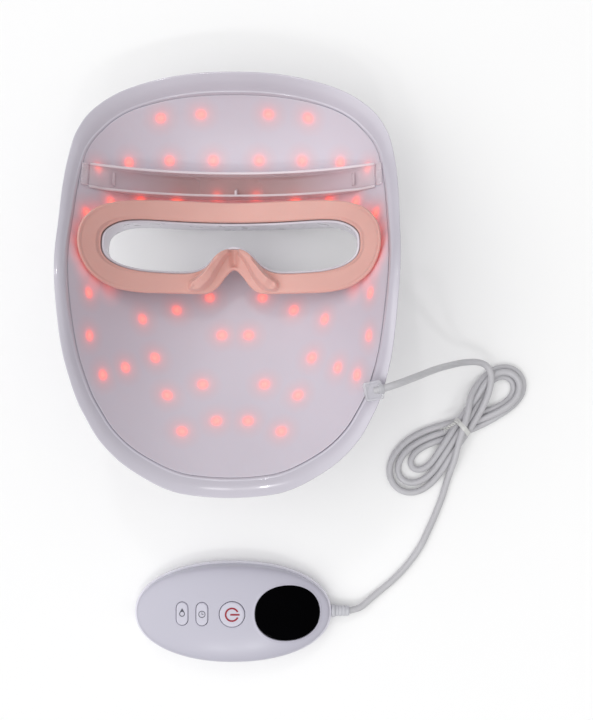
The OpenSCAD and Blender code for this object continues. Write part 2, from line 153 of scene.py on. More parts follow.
def share(y):
    return np.where(y > 60, np.clip((y - 92) / 74, 0, 1), np.clip((62 - y) / 119, 0, 1))


def back_t(p):
    return gap_t(p[..., 0], share(p[..., 1])) + PANEL_T


def pad_face(x):
    return PAD_Z + PAD_RISE * (np.abs(x) / 84) ** 2


def smooth01(t):
    t = np.clip(t, 0, 1)
    return t * t * (3 - 2 * t)


# ------------------------------------------------------------------ mesh helpers
def obj_from(name, verts, faces, smooth=True):
    """A mesh object from millimetre points."""
    me = bpy.data.meshes.new(name)
    me.from_pydata([tuple(map(float, v)) for v in np.asarray(verts, float) * MM], [],
                   [tuple(map(int, f)) for f in faces])
    me.validate()
    bm = bmesh.new()
    bm.from_mesh(me)
    bmesh.ops.recalc_face_normals(bm, faces=bm.faces)
    bm.to_mesh(me)
    bm.free()
    me.update()
    if smooth:
        me.polygons.foreach_set("use_smooth", [True] * len(me.polygons))
    o = bpy.data.objects.new(name, me)
    scene.collection.objects.link(o)
    return o


def lattice(rows, close_rows=True, close_cols=True, cap=False):
    """Quads over rows of points. rows[i][j] is one 3-D point."""
    rows = np.asarray(rows, float)
    n, k = rows.shape[:2]
    faces = []
    for i in range(n if close_rows else n - 1):
        for j in range(k if close_cols else k - 1):
            a, b = i * k + j, ((i + 1) % n) * k + j
            c, d = ((i + 1) % n) * k + (j + 1) % k, i * k + (j + 1) % k
            faces.append((a, b, c, d))
    if cap:
        faces.append(tuple(range(k)))
        faces.append(tuple((n - 1) * k + j for j in reversed(range(k))))
    return rows.reshape(-1, 3), faces


def joined(parts):
    """One list of points and faces from several."""
    verts, faces, n = [], [], 0
    for v, f in parts:
        v = np.asarray(v, float)
        verts.append(v)
        faces += [tuple(i + n for i in q) for q in f]
        n += len(v)
    return np.concatenate(verts), faces


def across(points, m):
    """Each row of profile points (rows, points, 3) smoothed along the profile, open."""
    p = np.asarray(points, float)
    n = p.shape[1]
    cols = [cr(p[:, max(0, i - 1)], p[:, i], p[:, i + 1], p[:, min(n - 1, i + 2)], j / m)
            for i in range(n - 1) for j in range(m)]
    return np.stack(cols + [p[:, -1]], 1)


def sharp(o, degrees=35):
    """Smooth shading, with edges sharper than that kept as edges."""
    bm = bmesh.new()
    bm.from_mesh(o.data)
    for e in bm.edges:
        e.smooth = not (len(e.link_faces) == 2 and e.calc_face_angle(0) > math.radians(degrees))
    bm.to_mesh(o.data)
    bm.free()
    return o


def revolve(profile, n, centre=(0, 0, 0), axis="Z", close=False):
    """A turned part: profile of (radius, height), closed to the axis at both ends when close."""
    rows = []
    for k in range(n):
        a = 2 * math.pi * k / n
        row = []
        for r, h in profile:
            x, y, z = r * math.cos(a), r * math.sin(a), h
            if axis == "X":
                x, y, z = z, x, y
            row.append((x + centre[0], y + centre[1], z + centre[2]))
        rows.append(row)
    return lattice(rows, True, close)


def place(o, body, slot, mat, *nodes):
    """Rides on a body, takes a material, and stands for CAD nodes. The slot argument is not used."""
    o.data.materials.clear()
    o.data.materials.append(mat)
    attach(o, body)
    if nodes:
        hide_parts(*nodes)
    return o


# ------------------------------------------------------------------ materials
def lin(c):
    """Linear colour from a display colour given as 0-255."""
    out = [(v / 255 / 12.92 if v / 255 <= 0.04045 else ((v / 255 + 0.055) / 1.055) ** 2.4) for v in c]
    return (*out, 1.0)


class Mat:
    """A Principled material with procedural detail laid over it."""

    def __init__(self, name):
        self.m = bpy.data.materials.new(name)
        self.m.use_nodes = True
        self.t = self.m.node_tree
        self.b = next(n for n in self.t.nodes if n.type == "BSDF_PRINCIPLED")
        self.out = next(n for n in self.t.nodes if n.type == "OUTPUT_MATERIAL")
        self.coord = self.node("ShaderNodeTexCoord")

    def node(self, kind, **kw):
        n = self.t.nodes.new(kind)
        for k, v in kw.items():
            if hasattr(n, k):
                setattr(n, k, v)
            else:
                n.inputs[k.replace("_", " ")].default_value = v
        return n

    def link(self, a, b):
        self.t.links.new(a, b)

    def set(self, **kw):
        for k, v in kw.items():
            self.b.inputs[k.replace("_", " ")].default_value = v
        return self

    def noise(self, scale, detail=3, rough=0.55, stretch=None):
        n = self.node("ShaderNodeTexNoise")
        n.inputs["Scale"].default_value = scale
        n.inputs["Detail"].default_value = detail
        n.inputs["Roughness"].default_value = rough
        if stretch:
            m = self.node("ShaderNodeMapping")
            m.inputs["Scale"].default_value = stretch
            self.link(self.coord.outputs["Object"], m.inputs["Vector"])
            self.link(m.outputs["Vector"], n.inputs["Vector"])
        else:
            self.link(self.coord.outputs["Object"], n.inputs["Vector"])
        return n.outputs["Fac"]

    def ramp(self, fac, stops):
        r = self.node("ShaderNodeValToRGB")
        e = r.color_ramp.elements
        while len(e) < len(stops):
            e.new(0.5)
        for i, (p, c) in enumerate(stops):
            e[i].position = p
            e[i].color = c if len(c) == 4 else (*c, 1)
        self.link(fac, r.inputs["Fac"])
        return r.outputs["Color"]

    def span(self, fac, a, b, c, d):
        """fac from a..b mapped to c..d."""
        n = self.node("ShaderNodeMapRange")
        for k, v in zip(("From Min", "From Max", "To Min", "To Max"), (a, b, c, d)):
            n.inputs[k].default_value = v
        self.link(fac, n.inputs["Value"])
        return n.outputs["Result"]

    def tint(self, colour, spread=0.03, scale=35, detail=3, stretch=None):
        """Base colour that drifts a little over the surface."""
        lo = tuple(max(0, v * (1 - spread)) for v in colour[:3])
        hi = tuple(min(1, v * (1 + spread)) for v in colour[:3])
        self.link(self.ramp(self.noise(scale, detail, 0.5, stretch), [(0.3, lo), (0.7, hi)]),
                  self.b.inputs["Base Color"])
        return self

    def gloss(self, low, high, scale=60):
        """Roughness that varies between low and high, as handling leaves it."""
        self.link(self.span(self.noise(scale, 5, 0.6), 0.3, 0.7, low, high), self.b.inputs["Roughness"])
        return self

    def bump(self, height, scale, detail=3, stretch=None, voronoi=False):
        """Bump of about height metres at that scale."""
        if voronoi:
            n = self.node("ShaderNodeTexVoronoi")
            n.inputs["Scale"].default_value = scale
            self.link(self.coord.outputs["Object"], n.inputs["Vector"])
            h = n.outputs["Distance"]
        else:
            h = self.noise(scale, detail, 0.55, stretch)
        b = self.node("ShaderNodeBump")
        b.inputs["Distance"].default_value = height
        b.inputs["Strength"].default_value = 1.0
        self.link(h, b.inputs["Height"])
        self.link(b.outputs["Normal"], self.b.inputs["Normal"])
        return self

# ------------------------------------------------------------------ the cord
# One 4 mm cord, seen from end to end: out of the gland in the rim, down on to the
# figure-eight hank, three turns round it, and along the table into the remote.
CORD_R = 2.0
HANK_AT, HANK_TURN = (138.7, -30.2), math.radians(40)


def hank(u, v, z):
    c, s = math.cos(HANK_TURN), math.sin(HANK_TURN)
    return [HANK_AT[0] + u * c - v * s, HANK_AT[1] + u * s + v * c, z]


FROM_MASK = [[77.6,-5.1,89.2],[80.2,-4.5,89.5],[83.2,-3.7,89.4],[88,-2.2,88.6],[93,-0.6,86.2],[98.5,1.2,81.2],
  [104,2.8,73.5],[109,4.2,64],[114,5.4,53.5],[119,6.5,43.4],[124,7.4,33.6],[129,8.3,25.2],
  [135,9.3,18.4],[141.5,10.2,14],[147.5,10.9,11.6],[152.6,10.6,10.8],[156.4,7.6,10.4],[157,2.4,10.1]]
TO_REMOTE = [[134.2,-44.5,7],[131.9,-53,3.8],[130.2,-61,2.2],[128.4,-69.5,2.0],[125.4,-78,2.0],
  [121.6,-87,2.0],[117.9,-95,2.0],[113.8,-103.5,2.0],[108.6,-111.5,2.0],[102.4,-119,2.0],
  [95.8,-125.6,2.0],[88.6,-131.6,2.1],[82,-136.9,2.9],[76,-141.5,4.2],[69.2,-143.3,4.9]]
# The turns, in the hank's own frame: along it, across it, height of the cord's middle
TURNS = [
  # down past the tie, round the outer lower loop
  (24,4.6,9.2),(12,-0.6,7.4),(0,-3.9,6.3),(-12,-7.9,5.4),(-24.4,-12,3),(-37,-15.4,2.1),(-47,-14.8,2),(-54.6,-9,2),
  (-56.6,0,2),(-53,8.6,2),(-44,14.2,2),(-32,15.6,2),(-20,13.4,2),(-9,8.8,2),
  # under the tie, round the inner upper loop
  (0,3.9,2),(10,0.6,2),(22,-4.6,2),(32,-7.4,2),(40.4,-5.8,2),(44.8,1.4,2),(42,8.8,2.1),(33.4,11.4,2.4),(22,7.8,3.6),(10,3.2,5.8),
  # over the tie, round the inner lower loop
  (0,0,6.3),(-11,-3.8,6),(-22,-7.4,3.6),(-33,-10.8,2.2),(-43,-10.4,2),(-50.4,-4.8,2),(-50.6,3.6,2),(-43.6,9.6,2),(-32,11.2,2),(-20,8.6,2),(-9,3.6,2),
  # under the tie, round the upper loop that lies on the other two
  (0,0,2),(10,-3.6,2.6),(21,-7,4.8),(32,-9,5.6),(41,-7.8,5.6),(47,-1.2,5.6),(46.2,7,5.6),(40.4,12.6,5.6),(31,13.2,5.6),(20,9.6,5.6),(9,5.6,6),
  # over the tie, round the small lower loop
  (0,3.9,6.3),(-10,1,6.2),(-19,-2.6,5),(-27.5,-6.2,2.8),(-35.4,-7,2),(-42,-1.8,2),(-41,4.6,2),(-34,7.6,2),(-25,6,2),(-17,2.8,2),(-9,-0.4,2),
  # under the tie, round the outer upper loop
  (0,-3.9,2),(10,-6.4,2),(22,-9.4,2),(34,-11.2,2),(44,-9.2,2),(50,-1.6,2),(49.2,7.4,2),(42.6,14.2,2),(33,15.6,2.2),(23,12.2,4.2),(12.5,7.6,8),
  # over everything at the tie, and away to the remote
  (5,3.2,10),(0,0.2,10.4),(-6,-4.2,9.8)]


def settle(p, fixed, steps=70):
    """Pushes parts of the cord that lie in each other apart, and keeps it smooth and off the table."""
    n = len(p)
    i, j = np.triu_indices(n, 7)
    start = p.copy()
    for k in range(steps):
        d = p[j] - p[i]
        far = np.linalg.norm(d, axis=1)
        m = far < 2 * CORD_R
        d, far, a, b = d[m], np.maximum(far[m], 1e-6), i[m], j[m]
        push = d / far[:, None] * ((2 * CORD_R - far) * 0.25)[:, None]
        move, count = np.zeros_like(p), np.ones(n)
        np.add.at(move, b, push)
        np.add.at(move, a, -push)
        np.add.at(count, a, 0.5)
        np.add.at(count, b, 0.5)
        p = p + move / count[:, None]
        q = p.copy()
        q[2:-2] = 0.5 * p[2:-2] + 0.25 * (p[1:-3] + p[3:-1])
        q[2:-2] += 0.30 * (p[2:-2] - q[2:-2])
        p = np.where(fixed[:, None], start, q)
        p[:, 2] = np.maximum(p[:, 2], CORD_R)
        p = start + np.clip(p - start, -3.5, 3.5)
    return p


route = curve(FROM_MASK + [hank(*t) for t in TURNS] + TO_REMOTE, 4)
step = np.concatenate([[0], np.cumsum(np.linalg.norm(np.diff(route, axis=0), axis=1))])
at = np.linspace(0, step[-1], int(step[-1] / 1.5))
route = np.stack([np.interp(at, step, route[:, k]) for k in range(3)], 1)
hold = (np.hypot(route[:, 0] - HANK_AT[0], route[:, 1] - HANK_AT[1]) > 66) | (route[:, 2] > 16)
route = settle(route, hold)
step = np.concatenate([[0], np.cumsum(np.linalg.norm(np.diff(route, axis=0), axis=1))])

cd = bpy.data.curves.new("cord", "CURVE")
cd.dimensions = "3D"
cd.bevel_depth = CORD_R * MM
cd.bevel_resolution = 5
cd.use_fill_caps = True
cd.resolution_u = 1
sp = cd.splines.new("POLY")
sp.points.add(len(route) - 1)
for q, c in zip(sp.points, route * MM):
    q.co = (*map(float, c), 1)
cord = bpy.data.objects.new("cord", cd)
scene.collection.objects.link(cord)

# ------------------------------------------------------------------ materials
def m_shell():
    m = Mat("white gloss shell")
    m.set(Roughness=0.16, Coat_Weight=0.6, Coat_Roughness=0.05, IOR=1.5, Specular_IOR_Level=0.5)
    m.tint(lin((197, 193, 204)), 0.025, 22)
    m.gloss(0.12, 0.24, 45)
    m.bump(0.0000025, 180, 2)
    return m.m


def m_frame():
    m = Mat("white frame plastic")
    m.set(Roughness=0.3, Coat_Weight=0.35, Coat_Roughness=0.15)
    m.tint(lin((214, 211, 220)), 0.02, 40)
    m.gloss(0.24, 0.38, 90)
    m.bump(0.000002, 500, 2)
    return m.m


def m_panel(spots, spill_points):
    """Milky panel: the lights behind it show as soft red dots. spots are points on its face, in metres, for the right half."""
    m = Mat("frosted light panel")
    m.set(Coat_Weight=0.12, Coat_Roughness=0.3, IOR=1.49, Subsurface_Weight=0.12,
          Subsurface_Scale=0.004, Emission_Strength=1.0)
    m.b.inputs["Subsurface Radius"].default_value = (1.0, 0.5, 0.45)
    m.gloss(0.4, 0.52, 70)
    sep = m.node("ShaderNodeSeparateXYZ")
    m.link(m.coord.outputs["Object"], sep.inputs["Vector"])
    half = m.node("ShaderNodeMath", operation="ABSOLUTE")
    m.link(sep.outputs["X"], half.inputs[0])
    fold = m.node("ShaderNodeCombineXYZ")
    m.link(half.outputs[0], fold.inputs["X"])
    m.link(sep.outputs["Y"], fold.inputs["Y"])
    m.link(sep.outputs["Z"], fold.inputs["Z"])

    def nearest(points):
        near = None
        for s in points:
            d = m.node("ShaderNodeVectorMath", operation="DISTANCE")
            m.link(fold.outputs["Vector"], d.inputs[0])
            d.inputs[1].default_value = s
            if near is None:
                near = d.outputs["Value"]
            else:
                mn = m.node("ShaderNodeMath", operation="MINIMUM")
                m.link(near, mn.inputs[0])
                m.link(d.outputs["Value"], mn.inputs[1])
                near = mn.outputs[0]
        return near

    scale = m.span(nearest(spots), 0.0, 0.012, 0.0, 1.0)
    dots = m.ramp(scale, [(0.0, (1.3, 0.1, 0.045)), (0.1, (1.15, 0.08, 0.035)), (0.2, (0.68, 0.025, 0.01)),
                          (0.3, (0.25, 0.005, 0.003)), (0.46, (0.09, 0.002, 0.001)), (0.7, (0.03, 0.001, 0.0005)), (1.0, (0, 0, 0))])
    # painted glow: a faint red round points along the pad's edges stands in for light spilling from lamps under the pad
    painted_spill_glow = m.ramp(m.span(nearest(spill_points), 0.0, 0.013, 0.0, 1.0),
                  [(0.0, (0.34, 0.022, 0.004)), (0.35, (0.22, 0.013, 0.003)), (0.7, (0.06, 0.003, 0.001)), (1.0, (0, 0, 0))])
    add = m.node("ShaderNodeMix", data_type="RGBA", blend_type="ADD")
    add.inputs[0].default_value = 1.0
    m.link(dots, add.inputs[6])
    m.link(painted_spill_glow, add.inputs[7])
    glow = add.outputs[2]
    m.link(glow, m.b.inputs["Emission Color"])
    body = m.ramp(m.noise(14, 2, 0.4), [(0.3, lin((206, 198, 209))), (0.7, lin((211, 204, 215)))])
    # the base colour is painted warm at the core of each lamp's dot: painted glow of the red light, laid over the
    # emission
    mix = m.node("ShaderNodeMix", data_type="RGBA", blend_type="MULTIPLY")
    mix.inputs[0].default_value = 1.0
    m.link(body, mix.inputs[6])
    m.link(m.ramp(scale, [(0.0, (0.95, 0.78, 0.7)), (0.16, (0.95, 0.78, 0.7)), (0.32, (0.98, 0.92, 0.9)), (1.0, (1, 1, 1))]),
           mix.inputs[7])
    m.link(mix.outputs[2], m.b.inputs["Base Color"])
    m.bump(0.0000025, 300, 2)
    return m.m


def m_pad():
    m = Mat("pink silicone")
    m.set(IOR=1.41, Subsurface_Weight=0.25, Subsurface_Scale=0.003, Coat_Weight=0.08,
          Coat_Roughness=0.35, Sheen_Weight=0.12, Sheen_Roughness=0.4)
    m.b.inputs["Subsurface Radius"].default_value = (1.0, 0.45, 0.35)
    m.tint(lin((217, 168, 159)), 0.03, 30, 4)
    m.gloss(0.42, 0.56, 80)
    m.bump(0.00004, 1100, 4)
    return m.m


def m_band():
    m = Mat("clear band")
    m.set(IOR=1.46, Coat_Weight=0.5, Coat_Roughness=0.06)
    sep = m.node("ShaderNodeSeparateXYZ")
    m.link(m.coord.outputs["Object"], sep.inputs["Vector"])
    side = m.node("ShaderNodeMath", operation="ABSOLUTE")
    m.link(sep.outputs["X"], side.inputs[0])
    mid = m.node("ShaderNodeMath", operation="SUBTRACT")
    m.link(sep.outputs["Y"], mid.inputs[0])
    mid.inputs[1].default_value = 0.1165
    away = m.node("ShaderNodeMath", operation="ABSOLUTE")
    m.link(mid.outputs[0], away.inputs[0])
    # thin floor of the channel lets the light through, the standing edges show white
    edge_v = m.span(away.outputs[0], 0.0057, 0.0062, 0.0, 1.0)
    rib_v = m.node("ShaderNodeMath", operation="MULTIPLY")
    m.link(m.span(side.outputs[0], 0.0007, 0.00085, 1.0, 0.0), rib_v.inputs[0])
    m.link(m.span(sep.outputs["Y"], 0.1152, 0.1156, 1.0, 0.0), rib_v.inputs[1])
    both_v = m.node("ShaderNodeMath", operation="MAXIMUM")
    m.link(edge_v, both_v.inputs[0])
    m.link(rib_v.outputs[0], both_v.inputs[1])
    wall = both_v.outputs[0]
    # the channel's floor is painted pinker and darker in the middle, paling to near white at the ends: painted shade
    # under the pad and a painted reflection of the pink pad and its red light
    painted_shade_and_pad_reflection = m.ramp(m.span(side.outputs[0], 0.0, 0.084, 0.0, 1.0),
                     [(0.0, lin((216, 172, 168))), (0.4, lin((218, 180, 179))), (0.72, lin((238, 218, 225))), (1.0, lin((244, 234, 240)))])
    grain = m.ramp(m.noise(40, 3, 0.5), [(0.3, (0.96, 0.96, 0.96)), (0.7, (1, 1, 1))])
    painted_shade_with_grain = m.node("ShaderNodeMix", data_type="RGBA", blend_type="MULTIPLY")
    painted_shade_with_grain.inputs[0].default_value = 1.0
    m.link(painted_shade_and_pad_reflection, painted_shade_with_grain.inputs[6])
    m.link(grain, painted_shade_with_grain.inputs[7])
    pick = m.node("ShaderNodeMix", data_type="RGBA")
    m.link(wall, pick.inputs[0])
    m.link(painted_shade_with_grain.outputs[2], pick.inputs[6])
    pick.inputs[7].default_value = lin((240, 232, 238))
    m.link(pick.outputs[2], m.b.inputs["Base Color"])
    m.link(m.span(wall, 0.0, 1.0, 0.42, 0.7), m.b.inputs["Alpha"])
    m.gloss(0.12, 0.26, 120)
    m.bump(0.000003, 200, 2)
    return m.m


def m_gland():
    m = Mat("clear grey gland")
    m.set(IOR=1.47, Coat_Weight=0.5, Coat_Roughness=0.08, Alpha=0.5)
    m.tint(lin((214, 214, 220)), 0.04, 300)
    m.gloss(0.14, 0.3, 500)
    m.bump(0.000004, 500, 2)
    return m.m


def m_cord():
    m = Mat("white cord jacket")
    m.set(Coat_Weight=0.12, Coat_Roughness=0.4, Sheen_Weight=0.1)
    m.tint(lin((190, 189, 193)), 0.05, 55, 4)
    m.gloss(0.34, 0.5, 200)
    m.bump(0.00006, 700, 4)
    return m.m


def m_plain(name, colour, rough=(0.3, 0.45), spread=0.05, scale=200, bump=0.00003, bscale=1500, **kw):
    m = Mat(name)
    m.set(**kw)
    m.tint(lin(colour), spread, scale)
    m.gloss(rough[0], rough[1], scale * 1.7)
    m.bump(bump, bscale, 3)
    return m.m


M_SHELL, M_FRAME, M_PAD, M_BAND, M_GLAND, M_CORD = m_shell(), m_frame(), m_pad(), m_band(), m_gland(), m_cord()
M_TIE = m_plain("twist tie", (214, 214, 212), (0.3, 0.42), scale=400)

# the cord rides with everything that stands still, and takes the place of its plain solids
place(cord, ROOT, "white_cord", M_CORD, "cord_mask_run", "cord_hank", "cord_remote_run")

# ------------------------------------------------------------------ mask rings
N = 12
rim, eye, padc = (ring(both(h), N) for h in (RIM_H, EYE_H, PAD_H))
rx, ry = rim[:, 0], rim[:, 1]
eye0 = off(eye, 2.3)
sd = seam_d(ry)
seam = off(rim, -sd)
panel_edge = off(rim, -sd - 0.08)
fr = front(rx, ry)
BT1 = SHELL_T + 1.3 + PANEL_T + 0.2


def rows_of(cols):
    return np.stack(cols, 1)


def near_hole(f, t):
    """lay() over the span from the window to the seam, but upright at the window's edge."""
    q = eye0 + (seam - eye0) * f
    a = lay(q, t)
    w = smooth01(f / 0.07)
    a[:, :2] = q + (a[:, :2] - q) * w
    return a


# outer shell: one moulding, its gloss front turned over at the rim
front_side = [near_hole(f, 0) for f in np.linspace(0.0, 0.985, 46)]
rim_out = off(rim, -0.8)
rim_in = lay(off(rim, -sd + 1.5), BT1)


def bevel(f):
    q = rim_out + (rim_in[:, :2] - rim_out) * f
    return up(q, (fr + 1.86) + (rim_in[:, 2] - fr - 1.86) * f + 0.5 * math.sin(math.pi * f))


roll = across(rows_of([
    lay(off(rim, -4.6), 0), lay(off(rim, -2.2), 0), lay(off(rim, -0.7), 0), up(off(rim, -0.02), fr + 0.1),
    up(off(rim, -0.08), fr + 1.35), up(off(rim, -0.34), fr + 1.86), bevel(0.0), bevel(0.25), bevel(0.5), bevel(0.75), bevel(1.0)]), 4)
lip = across(rows_of([bevel(1.0), lay(off(rim, -sd + 1.25), BT1 + 0.14), lay(off(rim, -sd + 0.9), BT1 + 0.3), lay(off(rim, -sd + 0.5), BT1 + 0.26),
                      lay(off(rim, -sd + 0.18), BT1 + 0.06), lay(off(rim, -sd), BT1 - 0.3), lay(off(rim, -sd), BT1 - 1.4)]), 3)
inside = [near_hole(f, SHELL_T) for f in (1, 0.9, 0.75, 0.56, 0.36, 0.16, 0)]
shell_rows = np.concatenate([rows_of(front_side), roll, lip[:, 1:], rows_of(inside)], 1)
shell = obj_from("outer_shell_gloss", *lattice(shell_rows))
sharp(shell, 50)
place(shell, ROOT, "white_gloss_shell", M_SHELL, "outer_shell")

# inner panel: milky face over the lights, its edge eased where it meets the shell
F = np.concatenate([np.linspace(0, 0.97, 74), [0.985]])
span = panel_edge - eye0


def back_at(p, extra=0.0):
    return lay(p, back_t(p) + extra)


def panel_row(f):
    q = eye0 + span * f
    a = back_at(q)
    a[:, :2] = q + (a[:, :2] - q) * smooth01(f / 0.07)
    return a


top = [panel_row(f) for f in F]
edge = across(rows_of([back_at(eye0 + span * 0.985), lay(off(rim, -sd - 0.5), back_t(off(rim, -sd - 0.5)) - 0.01),
                       lay(off(rim, -sd - 0.2), back_t(panel_edge) - 0.08), lay(panel_edge, back_t(panel_edge) - 0.3),
                       lay(panel_edge, back_t(panel_edge) - 1.25)]), 3)
under = []
for f in (0.97, 0.8, 0.6, 0.4, 0.2, 0):
    q = eye0 + span * f
    a = lay(q, gap_t(q[:, 0], share(q[:, 1])))
    a[:, :2] = q + (a[:, :2] - q) * smooth01(f / 0.07)
    under.append(a)
panel = obj_from("inner_panel_milky", *lattice(np.concatenate([rows_of(top), edge[:, 1:], rows_of(under)], 1)))
sharp(panel, 50)
spots = [tuple(back_at(np.array(h, float)) * MM) for h in LED_H]
# points along the pad's edge where the panel gets its painted spill glow
spill_glow_at = off(padc, 0.6)
spill_glow_at = [spill_glow_at[i] for i in range(0, len(spill_glow_at), 1) if spill_glow_at[i, 0] >= 0 and (spill_glow_at[i, 0] > 66 or spill_glow_at[i, 1] > 90)]
picked = []
for q in spill_glow_at:
    if all(np.hypot(*(q - r)) > (6.5 if q[0] > 60 else 11.0) for r in picked):
        picked.append(q)
M_PANEL = m_panel(spots, [tuple(back_at(q) * MM) for q in picked])
place(panel, ROOT, "frosted_panel", M_PANEL, "inner_panel")

# window frame: a clear-edged ring that lines the eye opening
pf = pad_face(eye[:, 0])
e_low = off(eye, 1.35)
z_low = lay(e_low, 0.0)[:, 2]
frame_cols = [up(off(eye, 1.75), z_low - 0.05), up(off(eye, 1.45), z_low), up(e_low, z_low + 0.35)]
wall = [up(off(eye, 1.35 * (1 - f) ** 1.6), z_low + 0.35 + (pf - 4.3 - z_low - 0.35) * f) for f in (0.16, 0.34, 0.55, 0.78, 1.0)]
lip_f = across(rows_of([up(eye, pf - 4.3), up(off(eye, 0.03), pf - 3.75), up(off(eye, 0.25), pf - 3.35),
                        up(off(eye, 0.75), pf - 3.2), up(off(eye, 1.3), pf - 3.35), up(off(eye, 1.55), pf - 4.1)]), 3)
outer_w = [up(off(eye, 1.6), pf - 5.0), up(off(eye, 2.0), pf - 7.0), up(off(eye, 2.0), pf - 9.0), lay(off(eye, 2.05), back_t(off(eye, 2.05)) + 2.2)]
foot = [lay(off(eye, 2.4), back_t(off(eye, 2.4)) + 1.15), lay(off(eye, 6.4), back_t(off(eye, 6.4)) + 0.9),
        lay(off(eye, 6.6), back_t(off(eye, 6.6)) + 0.7), lay(off(eye, 6.6), back_t(off(eye, 6.6)) + 0.2),
        up(off(eye, 2.1), lay(off(eye, 2.1), back_t(off(eye, 2.1)))[:, 2]), up(off(eye, 2.1), lay(off(eye, 2.1), 0.0)[:, 2])]
ring_f = obj_from("eye_window_frame_moulded", *lattice(np.concatenate(
    [rows_of(frame_cols + wall), lip_f[:, 1:], rows_of(outer_w + foot)], 1)))
sharp(ring_f, 40)
place(ring_f, ROOT, "white_frame", M_FRAME, "eye_window_frame")

# ------------------------------------------------------------------ eye pad with its two nose wings
CREST = curve([(22.0, 54.4), (19.6, 55.8), (15.8, 59.2), (12.2, 64.2), (8.9, 69.4), (6.2, 72.9), (4.6, 74.6)], 8)
crest_s = np.concatenate([[0], np.cumsum(np.linalg.norm(np.diff(CREST, axis=0), axis=1))])
crest_t = crest_s / crest_s[-1]


def wings(p):
    """Height of the nose wings over the pad's face at plan points p."""
    q = np.stack([np.abs(p[..., 0]), p[..., 1]], -1)
    flat = q.reshape(-1, 2)
    best, t, side = np.full(len(flat), 1e9), np.zeros(len(flat)), np.zeros(len(flat))
    beyond = np.zeros(len(flat))
    for k in range(len(CREST) - 1):
        a, b = CREST[k], CREST[k + 1]
        ab = b - a
        raw = ((flat - a) @ ab) / (ab @ ab)
        u = np.clip(raw, 0, 1)
        d = flat - (a + u[:, None] * ab)
        dist = np.linalg.norm(d, axis=1)
        m = dist < best
        best[m] = dist[m]
        t[m] = crest_t[k] + (crest_t[k + 1] - crest_t[k]) * u[m]
        side[m] = np.sign(ab[0] * d[m, 1] - ab[1] * d[m, 0])
        if k == 0:
            beyond[m] = np.maximum(-raw[m], 0) * np.linalg.norm(ab)
        else:
            beyond[m] = 0
    # window side is to the right of the way from the foot to the bridge
    across_w = best * np.where(side < 0, 1, -1)
    half = np.interp(t, [0, 0.25, 0.6, 1], [4.9, 4.6, 3.5, 2.9])
    rise = np.interp(t, [0, 0.15, 0.45, 0.8, 1], [5.2, 8.0, 9.8, 9.0, 6.6])
    edge = 1 - smooth01((best / half - 0.42) / 0.58)
    tilt = 1 + 0.3 * np.clip(across_w / half, -1, 1)
    valley = 3.2 * np.exp(-(flat[:, 0] / 2.3) ** 2) * smooth01((flat[:, 1] - 63.0) / 5.0) * (1 - smooth01((flat[:, 1] - 80.0) / 3.0))
    return (rise * edge * tilt - valley).reshape(p.shape[:-1])


def pad_top(p, drop=0.0):
    return up(p, pad_face(p[:, 0]) + wings(p) - drop)


in_a = off(eye, 1.5)
pad_rows = [up(padc, pad_face(padc[:, 0]) - 3.4), up(padc, pad_face(padc[:, 0]) - 2.0)]
pad_rows = rows_of(pad_rows)
r_out = across(rows_of([up(padc, pad_face(padc[:, 0]) - 2.0), up(off(padc, -0.12), pad_face(padc[:, 0]) - 1.1),
                        up(off(padc, -0.55), pad_face(padc[:, 0]) - 0.42), up(off(padc, -1.3), pad_face(padc[:, 0]) - 0.08),
                        pad_top(off(padc, -2.4))]), 3)
inner_q = off(eye, 3.4)
outer_q = off(padc, -2.4)
top_p = rows_of([pad_top(outer_q + (inner_q - outer_q) * s) for s in np.linspace(0.035, 1, 30)])
zi = pad_face(eye[:, 0])


def wing_edge(p):
    return wings(p) * 0.9


r_in = across(rows_of([pad_top(inner_q), up(off(eye, 2.4), zi - 0.12 + wing_edge(off(eye, 2.6))), up(off(eye, 1.8), zi - 0.6 + wing_edge(off(eye, 2.4))),
                       up(in_a, zi - 1.5 + wing_edge(off(eye, 2.2))), up(off(eye, 1.65), zi - 2.6 + 0.75 * wing_edge(off(eye, 2.2))),
                       up(off(eye, 2.2), zi - 3.6 + 0.5 * wing_edge(off(eye, 2.2))), up(off(eye, 2.65), zi - 4.6 + 0.4 * wing_edge(off(eye, 2.2)))]), 3)
b0, b1, b2 = off(eye, 2.65), off(eye, 5.9), off(eye, 7.2)
b2z = np.maximum(zi - PAD_T - 0.8, lay(b2, back_t(b2) + 1.3)[:, 2])
base = rows_of([lay(b0, back_t(b0) + 1.9), lay(off(eye, 3.1), back_t(off(eye, 3.1)) + 1.65), lay(b1, back_t(b1) + 1.65), up(b2, b2z)])
und = rows_of([up(b2 + (off(padc, -1.3) - b2) * s, b2z + (pad_face(padc[:, 0]) - PAD_T - b2z) * s) for s in (0.25, 0.5, 0.75, 1.0)])
low = rows_of([up(off(padc, -0.45), pad_face(padc[:, 0]) - PAD_T + 0.08)])
eye_pad = obj_from("eye_pad_silicone", *lattice(np.concatenate([pad_rows, r_out[:, 1:], top_p, r_in[:, 1:], base, und, low], 1)))
place(eye_pad, "eye_pad", "pink_silicone", M_PAD, "eye_pad")

# ------------------------------------------------------------------ forehead band: a clear channel with two standing edges
def band_top(x, y):
    return max(PAD_Z - 13 + 29 * (abs(x) / 81) ** 2.2, float(back_at(np.array([x, y], float), 1.1)[2]))


def band_z(x, y, t):
    return float(back_at(np.array([x, y], float), t)[2])


